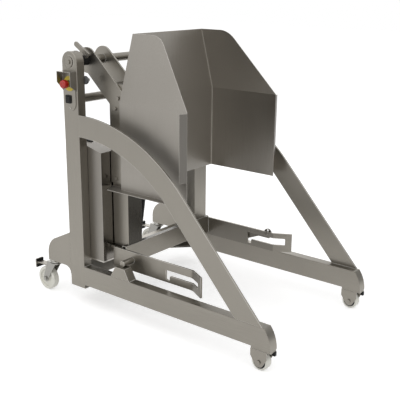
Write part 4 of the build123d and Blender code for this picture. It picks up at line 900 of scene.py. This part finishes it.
class DUMPER_OT_stage(bpy.types.Operator):
    """Camera at the picture's view, pale floor, white backdrop and soft lamps"""

    bl_idname = "dumper.stage"
    bl_label = "Stage"

    def execute(self, context):
        given = studio()
        scene = context.scene
        scene.view_settings.view_transform = "Standard"
        self.place_camera(scene, given)
        self.lay_floor(given)
        self.hang_lamps(given)
        self.stand_cards(given)
        self.paint_world(scene, given)
        return {"FINISHED"}

    def place_camera(self, scene, given):
        """Camera that looks along its heading and its dip, with a little roll."""
        heading = given.camera_heading
        dip = given.camera_dip
        roll = given.camera_roll
        level = math.cos(dip)
        ahead = Vector((math.sin(heading) * level, math.cos(heading) * level, -math.sin(dip)))
        right = Vector((math.cos(heading), -math.sin(heading), 0))
        up = right.cross(ahead)
        across = right * math.cos(roll) + up * math.sin(roll)
        upright = up * math.cos(roll) - right * math.sin(roll)
        bpy.ops.object.camera_add()
        camera = bpy.context.object
        turn = Matrix((across, upright, -ahead)).transposed()
        camera.matrix_world = Matrix.Translation(given.camera_place) @ turn.to_4x4()
        camera.data.sensor_fit = "HORIZONTAL"
        camera.data.sensor_width = FILM_WIDTH
        camera.data.lens = given.camera_lens
        camera.data.clip_end = FAR_CLIP
        scene.camera = camera

    def lay_floor(self, given):
        """Plain pale floor that keeps the shadow and meets the white backdrop."""
        deselect()
        bpy.ops.mesh.primitive_plane_add(size=FLOOR_SIZE, location=(0, 0, 0))
        floor = bpy.context.object
        floor.name = "floor"
        material, tree, shader, coordinate = blank_material("floor_paint")
        specks = noise_node(tree, coordinate, scale=3.0, detail=4.0, roughness=0.6)
        tint = mix_colours(tree, specks, shade(given.floor_colour, 0.995), given.floor_colour)
        tree.links.new(tint, shader.inputs["Base Color"])
        shader.inputs["Roughness"].default_value = 0.9
        shader.inputs["Specular IOR Level"].default_value = 0.0
        glow = mix_colours(tree, rays_that_show(tree), (0.0, 0.0, 0.0), (given.floor_glow,) * 3)
        tree.links.new(glow, shader.inputs["Emission Color"])
        shader.inputs["Emission Strength"].default_value = 1.0
        floor.data.materials.append(material)

    def hang_lamps(self, given):
        """Soft lamps that the camera doesn't see."""
        for name, place, width, height, power in LAMPS:
            bpy.ops.object.light_add(type="AREA", location=place)
            lamp = bpy.context.object
            lamp.name = name
            lamp.data.shape = "RECTANGLE"
            lamp.data.size = width
            lamp.data.size_y = height
            lamp.data.energy = getattr(given, power)
            lamp.rotation_euler = (LAMP_AIM - place).to_track_quat("-Z", "Y").to_euler()
            lamp.visible_camera = False

    def stand_cards(self, given):
        """Standing grey cards that glow, which only the steel's gloss sees and only from their face:
        painted dark reflections.
        """
        dark, light = CARD_CLOUDS
        for name, setting, place, size, facing in CARDS:
            tone = getattr(given, setting)
            material, tree, shader, coordinate = blank_material(f"{name}_grey")
            clouds = noise_node(tree, coordinate, scale=0.6, detail=1.0, roughness=0.4)
            greys = mix_colours(tree, clouds, (tone * dark,) * 3, (tone * light,) * 3)
            shader.inputs["Base Color"].default_value = (0, 0, 0, 1)
            shader.inputs["Specular IOR Level"].default_value = 0.0
            tree.links.new(greys, shader.inputs["Emission Color"])
            shader.inputs["Emission Strength"].default_value = 1.0
            self.one_way(tree, shader)
            turn = (math.radians(90), 0, math.radians(facing))
            deselect()
            bpy.ops.mesh.primitive_plane_add(size=1.0, location=place, rotation=turn)
            card = bpy.context.object
            card.name = name
            card.scale = size
            settle()
            card.data.materials.append(material)
            card.visible_camera = False
            card.visible_diffuse = False
            card.visible_transmission = False
            card.visible_shadow = False

    def one_way(self, tree, shader):
        """Makes the back of a card clear."""
        clear = tree.nodes.new("ShaderNodeBsdfTransparent")
        mix = tree.nodes.new("ShaderNodeMixShader")
        tree.links.new(tree.nodes.new("ShaderNodeNewGeometry").outputs["Backfacing"], mix.inputs[0])
        tree.links.new(shader.outputs["BSDF"], mix.inputs[1])
        tree.links.new(clear.outputs["BSDF"], mix.inputs[2])
        output = next(node for node in tree.nodes if node.type == "OUTPUT_MATERIAL")
        tree.links.new(mix.outputs["Shader"], output.inputs["Surface"])

    def paint_world(self, scene, given):
        """White to the camera and to gloss, an even grey fill to all else."""
        world = bpy.data.worlds.new("studio_backdrop")
        scene.world = world
        world.use_nodes = True
        tree = world.node_tree
        tree.nodes.clear()
        background = tree.nodes.new("ShaderNodeBackground")
        light = mix_colours(tree, rays_that_show(tree), (given.fill_level,) * 3, (1.0, 1.0, 1.0))
        tree.links.new(light, background.inputs["Color"])
        output = tree.nodes.new("ShaderNodeOutputWorld")
        tree.links.new(background.outputs["Background"], output.inputs["Surface"])


class DUMPER_OT_frame_tubes(bpy.types.Operator):
    """Posts, legs and cross members of rectangular tube"""

    bl_idname = "dumper.frame_tubes"
    bl_label = "Frame tubes"

    def execute(self, context):
        for word, _ in SIDES:
            refinish(f"{word}_post", "satin_upright")
            refinish(f"{word}_leg", "satin_lengthways")
        refinish("cross_tube", "satin_across")
        refinish("rear_cross_member", "satin_across")
        return {"FINISHED"}


class DUMPER_OT_plates(bpy.types.Operator):
    """Curved braces, rear feet, pedestals and gussets"""

    bl_idname = "dumper.plates"
    bl_label = "Frame plates"

    def execute(self, context):
        for word, _ in SIDES:
            dress(f"{word}_brace", "satin_blasted")
            dress(f"{word}_rear_foot", "satin_blasted")
        dress("pedestals", "satin_blasted")
        dress("corner_gussets", "satin_blasted")
        self.foot_seams()
        return {"FINISHED"}

    def foot_seams(self):
        """Welds ground flush where the rear feet meet the posts."""
        strip = block("foot_strip", (-1.3, -2.4, 0.0), (1.3, 2.4, 219.0))
        edit(strip)
        pick_edges(strip, lambda way: abs(way.z) > SAME_WAY)
        bpy.ops.mesh.bevel(offset=0.6 * MM, segments=2)
        outwards()
        coat(strip, "satin_upright")
        places = [at(s * face, FOOT_SEAM_Y, FOOT_SEAM_Z) for _, s in SIDES for face in FOOT_FACES_X]
        hand_over(set_out(strip, "foot_seams", places), "frame", "frame_steel")


class DUMPER_OT_pivots(bpy.types.Operator):
    """Shaft, bearings, collars and end bolts at the posts' heads"""

    bl_idname = "dumper.pivots"
    bl_label = "Pivots"

    def execute(self, context):
        refinish("pivot_shaft", "satin_across")
        dress("pivot_bearings", "satin_blasted")
        dress("hub_collars", "black_moulding", edge="black_moulding")
        shank = coat(turned("axle_shank", (
            (4.8, -34.0), (6.0, -32.8), (6.0, 0.0), (24.0, 0.0),
            (25.0, 1.0), (25.0, 2.0), (24.0, 3.0), (8.0, 3.0),
        )), "satin_blasted")
        head = coat(hexagon_head("axle_head", flats=19.0, height=5.0, foot=3.0), "satin_blasted")
        end = join("axle_end", head, shank)
        places = [along((s, 0, 0), (s * AXLE_END_X, 0, PIVOT_Z), roll=12.0) for _, s in SIDES]
        hand_over(set_out(end, "axle_end_bolts", places), "carriage", "bright_steel", "axle_bolts")
        return {"FINISHED"}


class DUMPER_OT_arms(bpy.types.Operator):
    """Hanging arms with their bolts and the trip lever"""

    bl_idname = "dumper.arms"
    bl_label = "Arms"

    def execute(self, context):
        for word, _ in SIDES:
            dress(f"{word}_outer_arm", "satin_blasted")
        dress("inner_arms", "satin_blasted")
        dress("trip_lever", "satin_blasted")
        shank = coat(turned("arm_shank", (
            (5.0, -22.0), (6.0, -21.0), (6.0, 0.0), (9.9, 0.0),
            (10.3, 0.4), (10.3, 1.4), (9.9, 1.8), (8.0, 1.8),
        )), "satin_blasted")
        head = coat(hexagon_head("arm_head", flats=17.0, height=5.7, foot=1.8), "satin_blasted")
        bolt = join("arm_bolt", head, shank)
        places = [
            along((s, 0, 0), (s * ARM_FACE_X, y, z), roll=20.0 * number)
            for _, s in SIDES for number, (y, z) in enumerate(ARM_BOLTS)
        ]
        hand_over(set_out(bolt, "arm_bolt_set", places), "carriage", "bright_steel", "arm_bolts")
        return {"FINISHED"}


class DUMPER_OT_carriage(bpy.types.Operator):
    """Uprights, cross-beam, fork arms, rest stubs and the latch"""

    bl_idname = "dumper.carriage"
    bl_label = "Carriage"

    def execute(self, context):
        dress("left_fork_arm", "satin_lengthways")
        # The right fork arm's inner face takes a darker copy of its steel: painted shade
        reface(dress("right_fork_arm", "satin_lengthways"), "satin_shaded", TO_LEFT)
        # The left upright's front face is much darker: painted shade
        reface(dress("left_upright", "satin_upright"), "satin_dark", TO_FRONT)
        dress("right_upright", "satin_upright")
        # The cross-beam's top face is much darker: painted dark reflection
        reface(dress("cross_beam", "satin_across"), "satin_dark", UP)
        dress("rest_stubs", "satin_across")
        dress("fork_latch", "dark_steel")
        return {"FINISHED"}


class DUMPER_OT_hood(bpy.types.Operator):
    """Folded sheet hood"""

    bl_idname = "dumper.hood"
    bl_label = "Hood"

    def execute(self, context):
        dress("hood_back", "sheet_upright", sizes().sheet_edge, fold=8.0)
        side = dress("left_hood_side", "sheet_scoured", sizes().sheet_edge, fold=8.0)
        # The flange of the left hood side takes a darker copy of its sheet: painted shade
        reface(side, "sheet_dark", FLANGE_OUT)
        dress("right_hood_side", "sheet_upright", sizes().sheet_edge, fold=8.0)
        self.corner_seams()
        return {"FINISHED"}

    def corner_seams(self):
        """Ground seams in the corners between the back and the sides, which lean inwards above; their
        lighter steel is a painted highlight along the corners.
        """
        seams = []
        for word, side in SIDES:
            corner = side * HOOD_CORNER_X
            seam = block(
                f"{word}_seam", (corner - 1.8, -253.4, HOOD_FOOT_Z), (corner + 1.8, -249.8, HOOD_BEND_Z))
            edit(seam)
            pick_faces(seam, lambda middle, normal: normal.z > SAME_WAY)
            pull(-side * HOOD_LEAN_X, 0, HOOD_LEAN_Z)
            pick_edges(seam, lambda way: abs(way.z) > STEEP)
            bpy.ops.mesh.bevel(offset=1.1 * MM, segments=2)
            outwards()
            seams.append(coat(seam, "ground_seam"))
        hand_over(join("hood_seams", *seams), "carriage", "sheet_steel", fold=40.0)


class DUMPER_OT_hydraulics(bpy.types.Operator):
    """Lifting cylinder with its bracket and crossbar"""

    bl_idname = "dumper.hydraulics"
    bl_label = "Hydraulics"

    def execute(self, context):
        dress("cylinder_bracket", "satin_blasted")
        dress("cylinder_crossbar", "satin_across")
        dress("cylinder_barrel", "black_moulding", edge="black_moulding")
        refinish("cylinder_rod", "ground_rod")
        self.barrel_ends()
        return {"FINISHED"}

    def barrel_ends(self):
        """Gland ring, base ring and plugged ports on the barrel."""
        foot = Vector(CYLINDER_FOOT)
        way = (Vector(CYLINDER_HEAD) - foot).normalized()
        gland = coat(turned("gland", (
            (15.3, 596.0), (40.5, 596.0), (42.0, 597.5), (42.0, 607.0), (41.0, 608.0),
            (41.0, 611.0), (42.0, 612.0), (42.0, 619.0), (40.0, 621.5), (24.0, 621.5),
            (22.5, 625.0), (18.0, 626.0), (15.3, 624.5), (15.3, 596.0),
        ), ring=True), "bright_turned")
        base = coat(turned("base_ring", (
            (39.0, 26.0), (41.5, 28.0), (41.5, 40.0), (39.0, 42.0), (39.0, 26.0),
        ), ring=True), "weld_bead")
        rings = set_out(join("barrel_rings", gland, base), "cylinder_rings", [along(way, foot)])
        hand_over(rings, "barrel", "bright_steel")
        boss = coat(turned("port_boss", (
            (14.0, 36.0), (14.0, 46.0), (12.5, 48.0), (9.0, 48.0),
        )), "black_moulding")
        plug = coat(hexagon_head("port_plug", flats=19.0, height=8.0, foot=48.0), "bright_turned")
        port = join("port", plug, boss)
        back = Vector((0, way.z, -way.y))
        places = [along(back, foot + way * height) for height in PORT_HEIGHTS]
        hand_over(set_out(port, "cylinder_ports", places), "barrel", "bright_steel")


class DUMPER_OT_power_unit(bpy.types.Operator):
    """Power box with its cover, pump motor, tank and screws"""

    bl_idname = "dumper.power_unit"
    bl_label = "Power unit"

    def execute(self, context):
        # The power box's front face takes the darker copy of its sheet: painted shade
        reface(dress("power_box", "sheet_folded", sizes().sheet_edge), "sheet_polished", TO_FRONT)
        dress("power_box_cover", "sheet_folded", sizes().sheet_edge)
        dress("pump_motor", "motor_paint", edge="motor_paint")
        dress("oil_tank", "motor_paint", edge="motor_paint")
        self.screws()
        self.grommet()
        self.louvres()
        self.hem()
        return {"FINISHED"}

    def screws(self):
        """Round heads with a turned socket in the cover and the control plate."""
        screw = coat(turned("screw", (
            (2.4, -7.0), (3.0, -6.4), (3.0, 0.0), (5.5, 0.0), (5.5, 1.4),
            (4.8, 2.8), (3.6, 3.5), (2.4, 3.5), (2.2, 1.6), (0.4, 1.5),
        )), "bright_turned")
        places = [along((1, 0, 0), (COVER_X, y, z)) for y, z in COVER_SCREWS]
        places.append(along((-1, 0, 0), PLATE_SCREW))
        hand_over(set_out(screw, "panel_screws", places), "frame", "bright_steel", "frame_screws")

    def grommet(self):
        """Blanking grommet in the sloped top of the box."""
        out = (0, -math.sin(BOX_TOP_SLOPE), math.cos(BOX_TOP_SLOPE))
        plug = coat(turned("grommet_plug", (
            (15.0, -3.0), (15.0, 0.0), (18.0, 0.0), (18.5, 1.6), (17.4, 3.8),
            (12.6, 5.2), (10.8, 4.4), (9.4, 2.6), (2.0, 2.2),
        )), "black_moulding")
        plug = set_out(plug, "box_grommet", [along(out, GROMMET_FOOT)])
        hand_over(plug, "frame", "black_plastic", fold=40.0)

    def louvres(self):
        """Pressed louvres in the cover, with black faces below: painted shade where they open."""
        deselect()
        bpy.ops.mesh.primitive_uv_sphere_add(segments=16, ring_count=8, radius=1.0)
        louvre = bpy.context.object
        louvre.scale = (5.0 * MM, 34.0 * MM, 9.0 * MM)
        louvre = coat(settle(), "sheet_folded", "black_moulding")
        edit(louvre)
        for point, way in (((-0.4 * MM, 0, 0), (-1, 0, 0)), ((0, 0, -1.5 * MM), (0, 0, -1))):
            bpy.ops.mesh.select_all(action="SELECT")
            bpy.ops.mesh.bisect(plane_co=point, plane_no=way, use_fill=True, clear_outer=True)
        # The flat undersides take the black: painted shade of the openings
        paint_faces(louvre, 1, lambda middle, normal: -normal.z > SAME_WAY)
        outwards()
        rows = [at(COVER_X, BOX_Y, LOUVRE_Z + LOUVRE_STEP * row) for row in range(LOUVRE_ROWS)]
        hand_over(set_out(louvre, "cover_louvres", rows), "frame", "sheet_steel", fold=50.0)

    def hem(self):
        """Folded hem round the foot of the box."""
        deselect()
        bpy.ops.mesh.primitive_plane_add(size=MM, location=(BOX_X * MM, BOX_Y * MM, BOX_HEM_Z * MM))
        hem = bpy.context.object
        hem.name = "box_hem"
        hem.scale = (120.0, 188.0, 1.0)
        settle()
        edit(hem)
        bpy.ops.mesh.select_all(action="SELECT")
        bpy.ops.mesh.delete(type="ONLY_FACE")
        bpy.ops.mesh.select_mode(type="EDGE")
        bpy.ops.mesh.select_all(action="SELECT")
        pull(0, 0, 7.0)
        outwards()
        modifier = hem.modifiers.new("wall", "SOLIDIFY")
        modifier.thickness = 1.2 * MM
        modifier.offset = 1.0
        apply(hem, modifier)
        # The whole hem takes the lighter edge steel: rubbed wear and a painted highlight round the box's
        # foot
        coat(hem, "rubbed_edge", "rubbed_edge")
        ease_edges(hem, 0.4 * MM)
        hand_over(hem, "frame", "sheet_steel")


class DUMPER_OT_controls(bpy.types.Operator):
    """Control plate, guard, emergency stop, rocker and limit sensor"""

    bl_idname = "dumper.controls"
    bl_label = "Controls"

    def execute(self, context):
        dress("control_plate", "satin_blasted", sizes().sheet_edge)
        dress("estop_guard", "sheet_blasted", sizes().sheet_edge)
        dress("estop_base", "yellow_moulding", sizes().sheet_edge, "yellow_moulding")
        self.mushroom()
        dress("switch_frame", "black_moulding", sizes().sheet_edge, "black_moulding")
        dress("rocker_switch", "black_moulding", sizes().sheet_edge, "black_moulding")
        self.sensor()
        return {"FINISHED"}

    def mushroom(self):
        """Mushroom head of the emergency stop with a dished top, and the collar under it."""
        head = coat(turned("mushroom", (
            (7.4, -16.0), (8.0, -15.4), (8.0, -0.2), (15.0, -0.2), (18.6, 1.2), (20.0, 4.0), (20.0, 19.0),
            (19.3, 23.5), (17.4, 26.4), (14.6, 27.8), (12.4, 28.0), (11.6, 27.3), (6.0, 27.0), (1.5, 27.0),
        )), "red_moulding")
        head = set_out(head, "estop_mushroom", [along((-1, 0, 0), ESTOP_HEAD)])
        hand_over(head, "estop", "red_plastic", "estop_button", fold=40.0)
        collar = coat(turned("collar", (
            (14.1, 0.2), (15.4, 0.4), (15.4, 3.0), (14.8, 3.4), (14.8, 5.6),
            (15.4, 6.0), (15.4, 8.6), (14.6, 9.4), (14.1, 9.4), (14.1, 0.2),
        ), ring=True), "black_moulding")
        collar = set_out(collar, "estop_collar", [along((-1, 0, 0), ESTOP_COLLAR)])
        hand_over(collar, "frame", "black_plastic")

    def sensor(self):
        """Round sensor with a lock nut and a threaded nose."""
        body = coat(turned("sensor_body", (
            (18.5, 0.0), (20.0, 1.2), (20.0, 12.4), (18.8, 14.0), (8.0, 14.0),
        )), "grey_rubber")
        thread = [(8.6, 13.0), (8.6, 19.0)]
        for turn in range(9):
            thread += [(9.0, 19.5 + turn), (8.5, 20.0 + turn)]
        thread += [(8.6, 28.6), (8.6, 30.4), (8.0, 31.0)]
        nose = coat(turned("sensor_nose", thread), "bright_turned")
        nut = coat(hexagon_head("sensor_nut", flats=27.0, height=5.0, foot=14.0), "bright_turned")
        sensor = join("sensor", nut, nose, body)
        sensor = set_out(sensor, "limit_switch", [along((1, 0, 0), SENSOR_FOOT)])
        hand_over(sensor, "frame", slot_of("limit_sensor"), "limit_sensor")


class DUMPER_OT_castors(bpy.types.Operator):
    """Castor plates, forks, wheels, pedals, axles and bumpers"""

    bl_idname = "dumper.castors"
    bl_label = "Castors"

    def execute(self, context):
        self.swivel_heads()
        self.front_bolts()
        # Black bumpers inside the front forks: real stops, whose black also paints the shade on the far
        # cheeks' inner faces
        dress("front_bumpers", "black_moulding", edge="black_moulding")
        for word, _ in SIDES:
            dress(f"{word}_swivel_fork", "castor_zinc", sizes().sheet_edge)
            dress(f"{word}_front_fork", "satin_blasted", sizes().sheet_edge)
            dress(f"{word}_brake_pedal", "satin_blasted")
            dress(f"{word}_rear_wheel", "cream_nylon", edge="cream_nylon")
            dress(f"{word}_front_wheel", "cream_nylon", edge="cream_nylon")
        self.dust_rings()
        self.pedal_pads()
        return {"FINISHED"}

    def swivel_heads(self):
        """Top cup, shadow gap and king-pin nut of each rear castor."""
        head = coat(turned("swivel_head", (
            (5.0, 150.6), (10.5, 150.6), (11.5, 151.6), (11.5, 157.4), (7.9, 157.4),
            (7.9, 166.6), (21.0, 166.6), (21.0, 169.2), (29.5, 169.2), (31.0, 170.6),
            (31.0, 173.4), (29.5, 175.0), (26.0, 175.6), (25.0, 176.6), (25.0, 181.0),
        )), "bright_turned")
        places = [along((0, 0, 1), (s * CASTOR_X, SWIVEL_Y, 0.0)) for _, s in SIDES]
        hand_over(set_out(head, "swivel_heads", places), "frame", "bright_steel", "swivel_plates")

    def front_bolts(self):
        """Axle bolts of the front castors, with a chamfered head on each end."""
        rod = coat(turned("axle_rod", (
            (4.6, -24.0), (5.0, -23.6), (5.0, 23.6), (4.6, 24.0),
        )), "bright_turned")
        near = coat(hexagon_head("axle_near", flats=17.0, height=5.0, foot=24.0), "satin_blasted")
        far = copy_of(near, "axle_far", Matrix.Rotation(math.pi, 4, "X"))
        bolt = join("front_bolt", near, far, rod)
        places = [along((1, 0, 0), (s * CASTOR_X, FRONT_AXLE_Y, FRONT_AXLE_Z)) for _, s in SIDES]
        hand_over(set_out(bolt, "front_axle_bolts", places), "frame", "bright_steel", "front_axles")

    def dust_rings(self):
        """Dark rings that close the hollow faces of the front wheels: dust rings, whose black is also
        painted shade in the hollows.
        """
        ring = coat(turned("dust_ring", (
            (16.0, 19.0), (16.0, 19.6), (30.0, 19.6), (30.5, 19.3), (30.5, 19.0), (16.0, 19.0),
        ), ring=True), "black_moulding")
        for word, side in SIDES:
            middle = (side * CASTOR_X, FRONT_AXLE_Y, FRONT_AXLE_Z)
            places = [along((way, 0, 0), middle) for way in (-1, 1)]
            rings = set_out(copy_of(ring, "dust_ring_copy"), f"{word}_dust_rings", places)
            hand_over(rings, f"{word}_front_roller", "black_plastic")
        put_away(ring)

    def pedal_pads(self):
        """Ribbed rubber pads on the upper and the lower half of each brake paddle."""
        for word, side in SIDES:
            pads = [self.pad(side * CASTOR_X, low) for low in PEDAL_PADS_Z]
            hand_over(join(f"{word}_pedal_pads", *pads), f"{word}_pedal", "black_plastic")

    def pad(self, middle, low):
        """One pad of nine strips, every second one pulled out to a rib."""
        half = 22.5
        strip = 5.0
        pad = block("pad", (middle - half, 324.0, low), (middle + half, 327.2, low + 14.0))
        edit(pad)
        pick_edges(pad, lambda way: abs(way.x) > SAME_WAY)
        bpy.ops.mesh.subdivide(number_cuts=8)
        bpy.ops.mesh.select_mode(type="FACE")
        first = middle - half + strip / 2
        pick_faces(pad, lambda place, normal: -normal.y > SAME_WAY
                   and round((place.x / MM - first) / strip) % 2 == 0)
        pull(0, -1.4, 0)
        outwards()
        coat(pad, "black_moulding", "black_moulding")
        ease_edges(pad, 0.5 * MM)
        return pad


class DUMPER_OT_welds(bpy.types.Operator):
    """Weld beads where plates and tubes of the frame and of the carriage meet"""

    bl_idname = "dumper.welds"
    bl_label = "Welds"

    def execute(self, context):
        self.frame_welds()
        self.carriage_welds()
        return {"FINISHED"}

    def frame_welds(self):
        """Beads of the legs, braces, pedestals, gussets, feet, cross tube and cylinder bracket."""
        beads = []
        for _, s in SIDES:
            lines = (
                ((s * 387, -50, 205), (s * 431, -50, 205), (0, -1, 1)),
                ((s * 387, -50, 105), (s * 431, -50, 105), (0, -1, -1)),
                ((s * 424, -50, 880), (s * 424, -50, 974), (-s, -1, 0)),
                ((s * 424, -995, 205), (s * 424, -1126, 205), (-s, 0, 1)),
                ((s * 387, -362.5, 205), (s * 431, -362.5, 205), (0, -1, 1)),
                ((s * 387, -237.5, 205), (s * 431, -237.5, 205), (0, 1, 1)),
                ((s * 384, 0, 116), (s * 384, 0, 202), (-s, -1, 0)),
                ((s * 384, 4, 205), (s * 384, 46, 205), (-s, 0, 1)),
                ((s * 387, 50, 367), (s * 431, 50, 367), (0, 1, 1)),
                ((s * 32, -30, 205), (s * 32, 6, 205), (s, 0, 1)),
            )
            beads += [straight_weld("bead", *line) for line in lines]
            beads.append(ring_weld("bead", (s * 384, 0, 1048), 21.2, (s, 0, 0)))
        beads.append(straight_weld("bead", (-28, -35, 205), (28, -35, 205), (0, -1, 1)))
        hand_over(join("frame_welds", *beads), "frame", "frame_steel", fold=60.0)

    def carriage_welds(self):
        """Beads of the cross-beam, cylinder crossbar, rest stubs and the arms round the shaft."""
        beads = []
        for _, s in SIDES:
            lines = (
                ((s * 334, -250, 236), (s * 334, -250, 318), (-s, -1, 0)),
                ((s * 212, -203, 1005), (s * 212, -151, 1005), (-s, 0, 1)),
                ((s * 212, -203, 945), (s * 212, -151, 945), (-s, 0, -1)),
            )
            beads += [straight_weld("bead", *line) for line in lines]
            beads.append(ring_weld("bead", (s * 344, -300, 277.3), 15.0, (s, 0, 0)))
            for face in (204, 212, 312):
                beads.append(ring_weld("bead", (s * face, 0, PIVOT_Z), 21.2, (s, 0, 0)))
        hand_over(join("carriage_welds", *beads), "carriage", "frame_steel", fold=60.0)


class DUMPER_PT_sidebar(bpy.types.Panel):
    """Lists the steps and the settings"""

    bl_idname = "DUMPER_PT_sidebar"
    bl_label = "Bin dumper"
    bl_space_type = "VIEW_3D"
    bl_region_type = "UI"
    bl_category = "Bin dumper"

    def draw(self, context):
        layout = self.layout
        for step in STEPS:
            layout.operator(step.bl_idname)
        for group in (finishes(), sizes(), studio()):
            box = layout.box()
            for name in group.bl_rna.properties.keys():
                if name not in ("rna_type", "name"):
                    box.prop(group, name)


GROUPS = (DumperFinishes, DumperSizes, DumperStudio)
STEPS = (
    DUMPER_OT_stage,
    DUMPER_OT_frame_tubes,
    DUMPER_OT_plates,
    DUMPER_OT_pivots,
    DUMPER_OT_arms,
    DUMPER_OT_carriage,
    DUMPER_OT_hood,
    DUMPER_OT_hydraulics,
    DUMPER_OT_power_unit,
    DUMPER_OT_controls,
    DUMPER_OT_castors,
    DUMPER_OT_welds,
)


def register():
    for kind in (*GROUPS, *STEPS, DUMPER_PT_sidebar):
        bpy.utils.register_class(kind)
    bpy.types.Scene.dumper_finishes = PointerProperty(type=DumperFinishes)
    bpy.types.Scene.dumper_sizes = PointerProperty(type=DumperSizes)
    bpy.types.Scene.dumper_studio = PointerProperty(type=DumperStudio)


def unregister():
    del bpy.types.Scene.dumper_studio
    del bpy.types.Scene.dumper_sizes
    del bpy.types.Scene.dumper_finishes
    for kind in reversed((*GROUPS, *STEPS, DUMPER_PT_sidebar)):
        bpy.utils.unregister_class(kind)


def main():
    register()
    bpy.ops.dumper.stage()
    bpy.ops.dumper.frame_tubes()
    bpy.ops.dumper.plates()
    bpy.ops.dumper.pivots()
    bpy.ops.dumper.arms()
    bpy.ops.dumper.carriage()
    bpy.ops.dumper.hood()
    bpy.ops.dumper.hydraulics()
    bpy.ops.dumper.power_unit()
    bpy.ops.dumper.controls()
    bpy.ops.dumper.castors()
    bpy.ops.dumper.welds()


if __name__ == "__main__":
    main()
